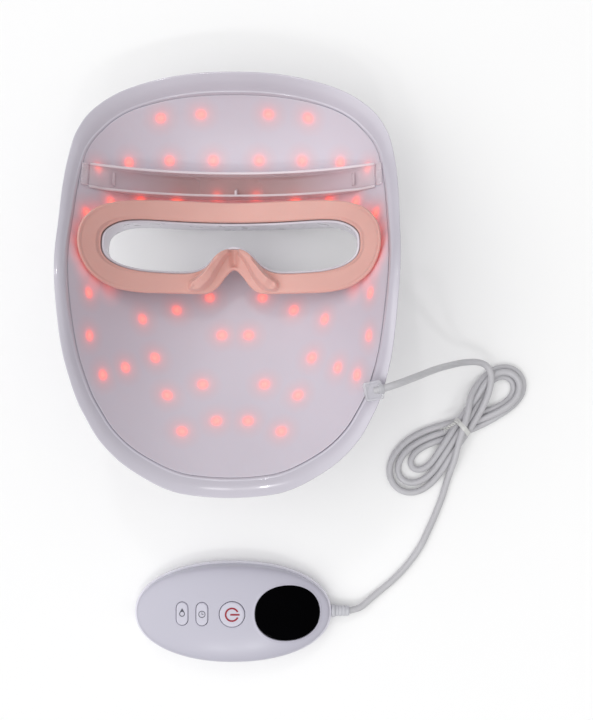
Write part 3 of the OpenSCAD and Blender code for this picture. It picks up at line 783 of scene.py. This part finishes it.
bx = np.concatenate([[-81], np.linspace(-80.4, 80.4, 121), [81]])
rows = []
for k, x in enumerate(bx):
    s = 0.35 if k in (0, len(bx) - 1) else 0.0      # eased ends
    y0, y1 = 109.0 + s, 124.0 - s
    w = 1.6 - s
    t0, t1 = band_top(x, y0) - s, band_top(x, y1) - s
    f0, f1 = band_z(x, y0 + w, 0.9), band_z(x, y1 - w, 0.9)
    rows.append([
        (x, y0, band_z(x, y0, 0.2)), (x, y0, t0 - 0.6), (x, y0 + 0.12, t0 - 0.2), (x, y0 + 0.5, t0), (x, y0 + w - 0.5, t0),
        (x, y0 + w - 0.12, t0 - 0.2), (x, y0 + w, t0 - 0.7), (x, y0 + w, (t0 + f0) / 2), (x, y0 + w + 0.1, f0 + 0.8), (x, y0 + w + 0.6, f0 + 0.15),
        (x, y0 + w + 2.2, band_z(x, y0 + w + 2.2, 0.9)), (x, 116.5, band_z(x, 116.5, 0.9)), (x, y1 - w - 2.2, band_z(x, y1 - w - 2.2, 0.9)),
        (x, y1 - w - 0.6, f1 + 0.15), (x, y1 - w - 0.1, f1 + 0.8), (x, y1 - w, (t1 + f1) / 2), (x, y1 - w, t1 - 0.7), (x, y1 - w + 0.12, t1 - 0.2),
        (x, y1 - w + 0.5, t1), (x, y1 - 0.5, t1), (x, y1 - 0.12, t1 - 0.2), (x, y1, t1 - 0.6), (x, y1, band_z(x, y1, 0.2))])
parts = [lattice(rows, False, True, cap=True)]
# a short rib stands in the middle of the channel, against the lower edge
rib = []
for x, s in ((-0.75, 0.35), (-0.4, 0), (0.4, 0), (0.75, 0.35)):
    zt = band_top(0, 110) - 0.4 - s
    rib.append([(x, 110.0, band_z(0, 111, 0.5)), (x, 110.0, zt), (x, 113.0 - s, zt - 0.5), (x, 115.2 - s, zt - 6.5), (x, 115.4 - s, band_z(0, 115, 0.5))])
parts.append(lattice(rib, False, True, cap=True))
# and a low stop near each end
for xc in (-69.5, 69.5):
    stop = []
    for x, s in ((xc - 0.7, 0.3), (xc - 0.35, 0), (xc + 0.35, 0), (xc + 0.7, 0.3)):
        z0, z1 = band_z(x, 113, 0.5), band_z(x, 120, 0.5)
        stop.append([(x, 112.6 + s, z0), (x, 112.6 + s, z0 + 2.4), (x, 113.4 + s, z0 + 3.2 - s), (x, 119.4 - s, z1 + 3.2 - s),
                     (x, 120.2 - s, z1 + 2.4), (x, 120.2 - s, z1)])
    parts.append(lattice(stop, False, True, cap=True))
band = obj_from("forehead_band_clear", *joined(parts))
sharp(band, 45)
place(band, ROOT, "clear_band", M_BAND, "forehead_band")

# end clips: a rounded tab with a slot at each end of the channel
clip_parts = []
for s in (-1, 1):
    xs = np.linspace(81.3, 84.7, 9)
    rows = []
    for k, x in enumerate(xs):
        e = abs(k - 4) / 4
        ease = 0.5 * e ** 4
        hump = 1.2 * (1 - e ** 4) + 0.2
        yy = np.concatenate([[110 + ease], np.linspace(110.3 + ease, 122.7 - ease, 15), [123 - ease]])
        lo = [(s * x, y, band_z(x, y, 0.2)) for y in yy[::-1]]
        hi = [(s * x, y, band_z(x, y, 0.25 + hump * (1 if 0 < i < len(yy) - 1 else 0.3) - (0.75 * (1 - e ** 2) if 6 <= i <= 10 else 0)))
              for i, y in enumerate(yy)]
        rows.append(lo + hi)
    clip_parts.append(lattice(rows, False, True, cap=True))
clips = obj_from("band_end_clips", *joined(clip_parts))
sharp(clips, 40)
place(clips, ROOT, "clear_band", M_BAND, "forehead_band_clips")

# ------------------------------------------------------------------ gland in the rim, clear grey, with the cord coming up out of it
GL, GA = (77.4, -5.0), math.radians(12)


def at_gland(x, y, z):
    c, s = math.cos(GA), math.sin(GA)
    return (GL[0] + x * c - y * s, GL[1] + x * s + y * c, z)


def slab(w, l, r, z, n=7):
    """A rounded rectangle's outline at height z, in the gland's frame."""
    pts = []
    for cx, cy, a0 in ((w / 2 - r, l / 2 - r, 0), (-w / 2 + r, l / 2 - r, 90), (-w / 2 + r, -l / 2 + r, 180), (w / 2 - r, -l / 2 + r, 270)):
        for k in range(n):
            a = math.radians(a0 + 90 * k / (n - 1))
            pts.append(at_gland(cx + r * math.cos(a), cy + r * math.sin(a), z))
    return pts


body = [slab(9.4, 9.8, 1.5, 78), slab(9.8, 10.4, 1.4, 86.5), slab(10.0, 10.6, 1.4, 89.6), slab(9.8, 10.4, 1.35, 90.1), slab(9.3, 9.9, 1.3, 90.45),
        slab(8.3, 8.9, 1.1, 90.55), slab(7.4, 8.0, 0.9, 90.5), slab(7.1, 7.7, 0.8, 90.15), slab(6.9, 7.5, 0.8, 90.1), slab(1.2, 1.4, 0.4, 90.1)]
parts = [lattice(body, False, True, cap=True)]
boot = revolve([(0.6, 2.6), (2.9, 2.65), (3.0, 3.2), (2.95, 4.6), (2.6, 5.5), (2.35, 5.8), (0.6, 5.8)], 32, axis="X", close=True)
bv = [at_gland(p[0], p[1], p[2] + 89.3) for p in boot[0]]
parts.append((bv, boot[1]))
gland = obj_from("cord_gland_clear", *joined(parts))
sharp(gland, 40)
place(gland, ROOT, "grey_clear_gland", M_GLAND, "cord_gland")

# ------------------------------------------------------------------ the tie: a flat paper twist tie round the waist, its ends twisted
def ribbon_loop(w, outline, thick):
    """A flat band of width w along u, bent to a closed outline of (v, z) points."""
    o = ring(np.array(outline, float), 6)
    t = np.roll(o, -1, 0) - np.roll(o, 1, 0)
    t /= np.linalg.norm(t, axis=1)[:, None]
    n = np.stack([t[:, 1], -t[:, 0]], 1)
    rows = []
    for k in range(len(o)):
        a, b = o[k], o[k] + n[k] * thick
        m = o[k] + n[k] * thick * 0.5
        row = []
        for u, p in ((-w / 2, m), (-w / 2 + 0.25, a), (w / 2 - 0.25, a), (w / 2, m), (w / 2 - 0.25, b), (0.25, b + n[k] * 0.12), (-0.25, b + n[k] * 0.12), (-w / 2 + 0.25, b)):
            row.append(hank(u, p[0], p[1]))
        rows.append(row)
    return lattice(rows)


parts = [ribbon_loop(3.0, [(-6.4, 4.2), (-5.6, 1.4), (-2.4, 0.35), (2.4, 0.35), (5.6, 1.4), (6.5, 4.6), (5.8, 8.2), (3.0, 11.0), (0.2, 12.5), (-2.6, 11.4), (-5.6, 8.2)][::-1], 0.45)]
tw_a, tw_b = hank(-0.6, 5.6, 11.6), hank(-11.2, 7.2, 13.6)
ax = np.array(tw_b) - np.array(tw_a)
L = np.linalg.norm(ax)
ax = ax / L
sx = np.cross(ax, [0, 0, 1])
sx /= np.linalg.norm(sx)
sy = np.cross(ax, sx)
for ph in (0, math.pi):
    rows = []
    for k in range(49):
        f = k / 48
        a = ph + 2 * math.pi * 3.2 * f
        spread = 0.55 + (1.6 * max(0, f - 0.72) / 0.28)
        c = np.array(tw_a) + ax * L * f + (sx * math.cos(a) + sy * math.sin(a)) * spread
        r1 = sx * math.cos(a + 1.4) + sy * math.sin(a + 1.4)
        r2 = np.cross(ax, r1)
        rows.append([c + r1 * x + r2 * y for x, y in ((0.85, 0), (0.6, 0.3), (-0.6, 0.3), (-0.85, 0), (-0.6, -0.3), (0.6, -0.3))])
    parts.append(lattice(rows, False, True, cap=True))
tie = obj_from("twist_tie", *joined(parts))
sharp(tie, 50)
place(tie, ROOT, "tie_plastic", M_TIE, "cord_tie")

# ------------------------------------------------------------------ remote
from mathutils.geometry import delaunay_2d_cdt

RC = (-2.3, -143.3)
R_LONG, R_WIDE, R_HIGH, SEAM_Z, CROWN_R = 120.5, 61.5, 18.0, 7.5, 260.0
KEY_X, KEY_Y, DISP_X, KEY_GAP = (0.0, -18.2, -30.3), 1.0, 33.5, 0.3


def oval(l, w, n=60):
    a = np.radians(np.arange(n) * 360 / n)
    c, s = np.cos(a), np.sin(a)
    return np.stack([np.sign(c) * l / 2 * np.abs(c) ** 0.93, np.sign(s) * w / 2 * np.abs(s) ** 0.93], 1)


def pill(r, l, n=9):
    pts = []
    for sy, a0 in ((1, 0), (-1, 180)):
        for k in range(n):
            a = math.radians(a0 + 180 * k / (n - 1))
            pts.append((r * math.cos(a), sy * (l / 2 - r) + r * math.sin(a)))
    # the two straight sides get points of their own, so the outline stays evenly spaced
    out = []
    for k, p in enumerate(pts):
        q = pts[(k + 1) % len(pts)]
        d = math.hypot(q[0] - p[0], q[1] - p[1])
        m = max(1, round(d / 1.1))
        out += [(p[0] + (q[0] - p[0]) * j / m, p[1] + (q[1] - p[1]) * j / m) for j in range(m)]
    return np.array(out)


def grow(c, d):
    """An anticlockwise outline moved outwards by d."""
    t = np.roll(c, -1, 0) - np.roll(c, 1, 0)
    t = t / np.linalg.norm(t, axis=1)[:, None]
    return c + np.stack([t[:, 1], -t[:, 0]], 1) * d


def crown(x, y=0.0):
    return R_HIGH - CROWN_R + np.sqrt(CROWN_R ** 2 - np.asarray(x, float) ** 2 - np.asarray(y, float) ** 2)


def dome(x, y, inset=1.2, n=5.6):
    """The top cover's height: a shallow crown that rolls over at the oval edge."""
    x, y = np.asarray(x, float), np.asarray(y, float)
    e = 2 / 0.93
    rho = np.minimum(1, ((np.abs(x) / (R_LONG / 2 - inset)) ** e + (np.abs(y) / (R_WIDE / 2 - inset)) ** e) ** (1 / e))
    g = np.power(np.maximum(1 - rho ** n, 0), 1 / n)
    return SEAM_Z + 0.1 + (crown(x, y) - SEAM_Z - 0.1) * g


def on_remote(p):
    p = np.asarray(p, float)
    return p + np.array([RC[0], RC[1], 0.0])


def inside_loop(pts, loop):
    x, y = pts[:, 0], pts[:, 1]
    hit = np.zeros(len(pts), bool)
    for a, b in zip(loop, np.roll(loop, -1, 0)):
        m = (a[1] > y) != (b[1] > y)
        with np.errstate(divide="ignore", invalid="ignore"):
            cut = (b[0] - a[0]) * (y - a[1]) / (b[1] - a[1]) + a[0]
        hit ^= m & (x < cut)
    return hit


def sheet_of(outer, holes, fill_rings, height):
    """A triangulated sheet inside outer and outside the holes, lifted by height(x, y)."""
    pts, edges = [], []

    def add(loop, closed=True):
        n = len(pts)
        pts.extend([Vector((float(p[0]), float(p[1]))) for p in loop])
        if closed:
            edges.extend([(n + k, n + (k + 1) % len(loop)) for k in range(len(loop))])

    add(outer)
    for h in holes:
        add(h)
    rest = np.concatenate(fill_rings)
    keep = np.ones(len(rest), bool)
    for h in holes:
        near = np.min(np.linalg.norm(rest[:, None] - h[None], axis=2), axis=1) < 0.7
        keep &= ~inside_loop(rest, h) & ~near
    keep &= inside_loop(rest, outer)
    add(rest[keep], False)
    v, _, f, _, _, _ = delaunay_2d_cdt(pts, edges, [], 0, 1e-6)
    v = np.array([tuple(p) for p in v])
    mid = np.array([v[list(t)].mean(0) for t in f])
    ok = inside_loop(mid, outer)
    for h in holes:
        ok &= ~inside_loop(mid, h)
    faces = [tuple(t) for t, good in zip(f, ok) if good]
    return np.column_stack([v, height(v[:, 0], v[:, 1])]), faces


def welded(o, dist=0.00002):
    bm = bmesh.new()
    bm.from_mesh(o.data)
    bmesh.ops.remove_doubles(bm, verts=bm.verts, dist=dist)
    loose = [v for v in bm.verts if not v.link_faces]
    bmesh.ops.delete(bm, geom=loose, context="VERTS")
    bmesh.ops.recalc_face_normals(bm, faces=bm.faces)
    bm.to_mesh(o.data)
    bm.free()
    o.data.polygons.foreach_set("use_smooth", [True] * len(o.data.polygons))
    return o


def shifted(loop, x, y):
    return loop + np.array([x, y])


n_out = 180
power_hole = shifted(np.stack([np.cos(np.radians(np.arange(0, 360, 5))), np.sin(np.radians(np.arange(0, 360, 5)))], 1) * (7.6 + KEY_GAP), KEY_X[0], KEY_Y)
pill_holes = [shifted(pill(3.5 + KEY_GAP, 14 + 2 * KEY_GAP), x, KEY_Y) for x in KEY_X[1:]]
lens_hole = shifted(oval(39.6, 33.6, 96), DISP_X, KEY_Y)
hole_list = [(power_hole, 0.55, False), (pill_holes[0], 0.45, False), (pill_holes[1], 0.45, False), (lens_hole, 1.25, True)]
outer_top = oval(R_LONG - 2.4 - 0.4, R_WIDE - 2.4 - 0.4, n_out)
rings = []
for s in np.concatenate([1 - 0.0035 * np.arange(1, 7) ** 1.45, np.linspace(0.93, 0.03, 33)]):
    rings.append(oval(R_LONG - 2.8, R_WIDE - 2.8, n_out if s > 0.62 else max(8, 2 * int(n_out * max(s, 0.1) / 2))) * s)
parts = []
loops = [grow(h, e) for h, e, _ in hole_list]
for h, e, bezel in hole_list:
    rings.append(grow(h, e + 0.9))
parts.append(sheet_of(outer_top, loops, rings, dome))
for (h, e, bezel), loop in zip(hole_list, loops):
    steps = ([(e, 0), (0.95, 0.16), (0.62, 0.3), (0.34, 0.28), (0.1, 0.06), (0.0, -0.2), (0.0, -1.6)] if bezel else
             [(e, 0), (0.28, -0.03), (0.1, -0.12), (0.0, -0.3), (0.0, -1.8)])
    rows = []
    for d, dz in steps:
        q = grow(h, d)
        rows.append(np.column_stack([q, dome(q[:, 0], q[:, 1]) + dz]))
    parts.append(lattice(rows, False, True))
rows = []
for l, z in ((0.4, None), (0.16, "a"), (0.0, 8.6), (0.0, 7.75), (0.2, 7.6), (3.2, 7.6)):
    q = oval(R_LONG - 2.4 - l, R_WIDE - 2.4 - l, n_out)
    zz = dome(outer_top[:, 0], outer_top[:, 1])
    if z == "a":
        zz = 0.5 * (zz + 8.6)
    elif z is not None:
        zz = np.full(len(q), z)
    rows.append(np.column_stack([q, zz]))
parts.append(lattice(rows, False, True))
v, f = joined(parts)
top_cover = welded(obj_from("remote_top_gloss", on_remote(v), f))
sharp(top_cover, 42)

# bottom cover: a shallow tray with a light ledge under the seam
prof = [(3.6, 6.6), (3.4, 7.3), (3.1, 7.5), (0.5, 7.5), (0.14, 7.4), (0.0, 7.1), (0.0, 5.2), (0.0, 3.4), (0.2, 2.4), (0.75, 1.45),
        (1.7, 0.7), (3.0, 0.22), (4.4, 0.03), (5.6, 0.0)]
rows = []
for d, z in prof:
    q = oval(R_LONG - 2 * d, R_WIDE - 2 * d, n_out)
    rows.append(np.column_stack([q, np.full(len(q), z)]))
parts = [lattice(rows, False, True)]
SCREWS = [(24, 20), (24, -20), (-32, 17), (-32, -17)]
circ = np.stack([np.cos(np.radians(np.arange(0, 360, 12))), np.sin(np.radians(np.arange(0, 360, 12)))], 1)
s_holes = [shifted(circ * 3.25, x, y) for x, y in SCREWS]
inner_b = oval(R_LONG - 11.2, R_WIDE - 11.2, n_out)
rb = [np.stack([np.cos(a) * (R_LONG - 11.2) / 2 * s, np.sin(a) * (R_WIDE - 11.2) / 2 * s], 1)
      for s in (0.85, 0.65, 0.45, 0.2) for a in [np.radians(np.arange(0, 360, 12))]]
parts.append(sheet_of(inner_b, s_holes, rb, lambda x, y: np.zeros(len(x))))
for x, y in SCREWS:
    rows = [np.column_stack([shifted(circ * r, x, y), np.full(30, z)]) for r, z in ((3.25, 0), (3.04, 0.08), (3.0, 0.3), (3.0, 1.9), (2.8, 2.1), (1.7, 2.1), (1.65, 2.6))]
    parts.append(lattice(rows, False, True))
v, f = joined(parts)
bottom_cover = welded(obj_from("remote_bottom_gloss", on_remote(v), f))
# the charge port's slot is cut through the end wall
cut_v, cut_f = [], []
cut_rows = []
for x in (-64.0, -53.0):
    loop = []
    for cy, cz, a0 in ((3.4, 0.55, 0), (-3.4, 0.55, 90), (-3.4, -0.55, 180), (3.4, -0.55, 270)):
        for k in range(6):
            a = math.radians(a0 + 18 * k)
            loop.append((x, cy + 1.15 * math.cos(a), 5.1 + cz + 1.15 * math.sin(a)))
    cut_rows.append(loop)
cut = obj_from("slot_cutter", on_remote(np.array(cut_rows).reshape(-1, 3)), lattice(cut_rows, False, True, cap=True)[1], smooth=False)
mod = bottom_cover.modifiers.new("slot", "BOOLEAN")
mod.operation, mod.object, mod.solver = "DIFFERENCE", cut, "EXACT"
bpy.context.view_layer.update()
ev = bottom_cover.evaluated_get(bpy.context.evaluated_depsgraph_get())
new = bpy.data.meshes.new_from_object(ev)
bottom_cover.modifiers.clear()
bottom_cover.data = new
bpy.data.objects.remove(cut)
sharp(bottom_cover, 40)

# lens, power key and the two long keys
lens_loop = oval(39.0, 33.0, 96)
rows = []
for s, dz in ((0.0, 0.0), (0.15, 0), (0.3, 0), (0.45, 0), (0.6, 0), (0.72, 0), (0.82, 0), (0.9, 0), (0.95, 0), (0.975, -0.02), (0.99, -0.09), (1.0, -0.3), (1.0, -1.4)):
    q = shifted(lens_loop * max(s, 0.002), DISP_X, KEY_Y)
    rows.append(np.column_stack([q, dome(q[:, 0], q[:, 1]) - 0.06 + dz]))
lens = obj_from("display_window", on_remote(np.array(rows).reshape(-1, 3)), lattice(rows, False, True)[1])
sharp(lens, 50)

KTOP = float(crown(0)) + 0.6
ang = np.radians(np.arange(0, 360, 5))
rows = []
for r, z in ((0.01, KTOP - 0.02), (2.4, KTOP - 0.02), (4.8, KTOP - 0.02), (5.6, KTOP), (6.1, KTOP + 0.0), (6.6, KTOP - 0.03), (7.05, KTOP - 0.12), (7.4, KTOP - 0.3), (7.58, KTOP - 0.62), (7.6, KTOP - 1.1), (7.6, KTOP - 2.4)):
    rows.append(np.stack([KEY_X[0] + r * np.cos(ang), KEY_Y + r * np.sin(ang), np.full(len(ang), z)], 1))
pkey = obj_from("power_key_cap", on_remote(np.array(rows).reshape(-1, 3)), lattice(rows, False, True)[1])
sharp(pkey, 50)
keys = []
for i in (1, 2):
    zt = float(crown(KEY_X[i])) + 0.3
    base_loop = pill(3.5, 14)
    rows = []
    for d, z in ((-3.3, zt - 0.03), (-2.4, zt - 0.03), (-1.4, zt - 0.01), (-0.8, zt), (-0.45, zt - 0.06), (-0.18, zt - 0.2), (-0.03, zt - 0.45), (0, zt - 0.8), (0, zt - 2.2)):
        q = shifted(grow(base_loop, d) if d > -3 else base_loop * [0.06, 0.5], KEY_X[i], KEY_Y)
        rows.append(np.column_stack([q, np.full(len(q), z)]))
    k = obj_from(("time_key_cap", "light_key_cap")[i - 1], on_remote(np.array(rows).reshape(-1, 3)), lattice(rows, False, True, cap=True)[1])
    sharp(k, 50)
    keys.append(k)

# strain relief: a flange, then a ribbed sleeve
prof = [(0.5, 53.2), (2.05, 53.2), (2.1, 60.2), (3.3, 60.4), (3.85, 60.6), (3.95, 61.1), (3.8, 62.3), (3.45, 62.75)]
x = 62.9
for k in range(4):
    r = 3.35 - 0.07 * k
    prof += [(r - 0.3, x), (r, x + 0.25), (r - 0.02, x + 1.55), (r - 0.32, x + 1.8)]
    x += 2.05
prof += [(2.98, x), (3.02, x + 0.15), (2.9, 71.35), (2.6, 71.5), (2.08, 71.5), (2.05, 68.0), (0.5, 68.0)]
sl = revolve([(r, h) for r, h in prof], 40, axis="X", close=True)
relief = obj_from("strain_relief_ribbed", on_remote(np.asarray(sl[0]) + np.array([0, 0, 4.9])), sl[1])
sharp(relief, 38)

# ------------------------------------------------------------------ remote materials
def m_remote(name, colour, low=0.26, high=0.36, coat=0.12):
    m = Mat(name)
    m.set(Coat_Weight=coat, Coat_Roughness=0.2, IOR=1.5)
    m.tint(lin(colour), 0.007, 26)
    m.gloss(low + 0.035, high - 0.035, 60)
    m.bump(0.000002, 220, 2)
    return m.m


M_TOP = m_remote("lavender gloss", (187, 185, 198))
M_BOT = m_remote("pale gloss base", (226, 224, 234), 0.2, 0.3)
M_KEY = m_remote("key gloss", (199, 197, 210), 0.26, 0.38)
M_BLACK = m_plain("black window", (1, 1, 2), (0.06, 0.12), 0.3, 60, 0.000004, 900, Coat_Weight=0.03, Coat_Roughness=0.02, Specular_IOR_Level=0.0)
M_RELIEF = m_plain("grey relief rubber", (196, 196, 202), (0.42, 0.56), 0.04, 150, 0.00005, 900)
place(top_cover, ROOT, "remote_gloss", M_TOP, "remote_top_cover")
place(bottom_cover, ROOT, "remote_gloss", M_BOT, "remote_bottom_cover")
place(lens, ROOT, "black_window", M_BLACK, "display_lens")
place(pkey, "power_key", "key_gloss", M_KEY, "power_button")
place(keys[0], "time_key", "key_gloss", M_KEY, "time_button")
place(keys[1], "color_key", "key_gloss", M_KEY, "color_button")
place(relief, ROOT, "grey_relief", M_RELIEF, "remote_strain_relief")

# ------------------------------------------------------------------ finer materials for the CAD parts that stay
KEEP = {
    "led_strip_upper": m_plain("flex circuit", (196, 132, 62), (0.3, 0.45), 0.1, 400, 0.00003, 3000),
    "face_leds": m_plain("red lamp", (255, 150, 130), (0.15, 0.3), 0.04, 500, 0.00002, 2000, Emission_Strength=1.5),
    "cord_terminal_board": m_plain("green circuit board", (44, 108, 66), (0.3, 0.45), 0.12, 700, 0.00004, 2600),
    "display_module": m_plain("black module", (26, 26, 30), (0.35, 0.5), 0.2, 300, 0.00003, 2000),
    "key_switches": m_plain("switch metal", (150, 150, 154), (0.25, 0.4), 0.08, 700, 0.00003, 3000, Metallic=0.8),
    "battery_cell": m_plain("cell wrap", (72, 96, 150), (0.2, 0.35), 0.06, 200, 0.00004, 900),
    "charge_port": m_plain("bare steel", (170, 171, 176), (0.2, 0.34), 0.06, 500, 0.00002, 3000, Metallic=1.0),
    "power_symbol": m_plain("red print", (150, 6, 36), (0.5, 0.6), 0.04, 600, 0.000002, 900),
    "clock_mark": m_plain("grey print", (74, 74, 86), (0.5, 0.6), 0.04, 700, 0.000002, 900),
}
KEEP["face_leds"].node_tree.nodes["Principled BSDF"].inputs["Emission Color"].default_value = (1, 0.03, 0.01, 1)
KEEP["power_symbol"].node_tree.nodes["Principled BSDF"].inputs["Emission Color"].default_value = (1, 0.02, 0.08, 1)
for a, b in (("led_strip_lower", "led_strip_upper"), ("remote_board", "cord_terminal_board"), ("remote_screws", "charge_port"), ("drop_mark", "clock_mark")):
    KEEP[a] = KEEP[b]
for node, mat in KEEP.items():
    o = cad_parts[node]
    for s in o.material_slots:
        s.material = mat
    if not o.material_slots:
        o.data.materials.append(mat)

# ------------------------------------------------------------------ floor and light
bpy.ops.mesh.primitive_plane_add(size=6, location=(0, 0, 0))
floor = bpy.context.object
floor.name = "floor"
mf = Mat("pale floor")
mf.set(Roughness=0.9, Specular_IOR_Level=0.1, Emission_Strength=0.05)
mf.b.inputs["Emission Color"].default_value = (1, 1, 1, 1)
mf.tint((0.88, 0.88, 0.88, 1), 0.004, 6)
floor.data.materials.append(mf.m)

# a studio dome that is brighter towards the lower left, where the large softbox stands
world = bpy.data.worlds.new("studio")
scene.world = world
world.use_nodes = True
wt = world.node_tree
bg = wt.nodes["Background"]
bg.inputs["Color"].default_value = (1.0, 1.0, 1.0, 1)
way = wt.nodes.new("ShaderNodeTexCoord")
toward = wt.nodes.new("ShaderNodeVectorMath")
toward.operation = "DOT_PRODUCT"
toward.inputs[1].default_value = tuple(Vector((-0.68, -0.12, 0.72)).normalized())
wt.links.new(way.outputs["Generated"], toward.inputs[0])
pos = wt.nodes.new("ShaderNodeMath")
pos.operation, pos.inputs[1].default_value = "MAXIMUM", 0.0
wt.links.new(toward.outputs["Value"], pos.inputs[0])
power = wt.nodes.new("ShaderNodeMath")
power.operation, power.inputs[1].default_value = "POWER", 4.0
wt.links.new(pos.outputs[0], power.inputs[0])
amount = wt.nodes.new("ShaderNodeMath")
amount.operation = "MULTIPLY_ADD"
amount.inputs[1].default_value, amount.inputs[2].default_value = 1.3, 0.74
wt.links.new(power.outputs[0], amount.inputs[0])
# the room is darker near the floor line
split = wt.nodes.new("ShaderNodeSeparateXYZ")
wt.links.new(way.outputs["Generated"], split.inputs["Vector"])
low = wt.nodes.new("ShaderNodeMapRange")
low.interpolation_type = "SMOOTHSTEP"
for k, v in zip(("From Min", "From Max", "To Min", "To Max"), (0.05, 0.6, 0.12, 1.0)):
    low.inputs[k].default_value = v
wt.links.new(split.outputs["Z"], low.inputs["Value"])
dim = wt.nodes.new("ShaderNodeMath")
dim.operation = "MULTIPLY"
wt.links.new(amount.outputs[0], dim.inputs[0])
wt.links.new(low.outputs["Result"], dim.inputs[1])
wt.links.new(dim.outputs[0], bg.inputs["Strength"])


def softbox(name, at, size, power, to=(0.0, -0.01, 0.05), colour=(1, 1, 1)):
    d = bpy.data.lights.new(name, "AREA")
    d.shape, d.size, d.size_y, d.energy, d.color = "RECTANGLE", size[0], size[1], power, colour
    o = bpy.data.objects.new(name, d)
    scene.collection.objects.link(o)
    o.location = at
    o.rotation_euler = (Vector(to) - Vector(at)).to_track_quat("-Z", "Y").to_euler()
    return o


softbox("low", (0.12, -0.95, 1.4), (0.16, 0.09), 1.5)
softbox("low left", (-0.24, -1.0, 1.35), (0.2, 0.06), 1.2)
softbox("high", (-0.166, 0.87, 1.08), (0.05, 0.11), 0.9, to=(0.0, -0.07, 0.075))

scene.view_settings.view_transform = "Standard"
scene.view_settings.look = "None"
scene.view_settings.exposure = 0.0
scene.view_settings.gamma = 1.0
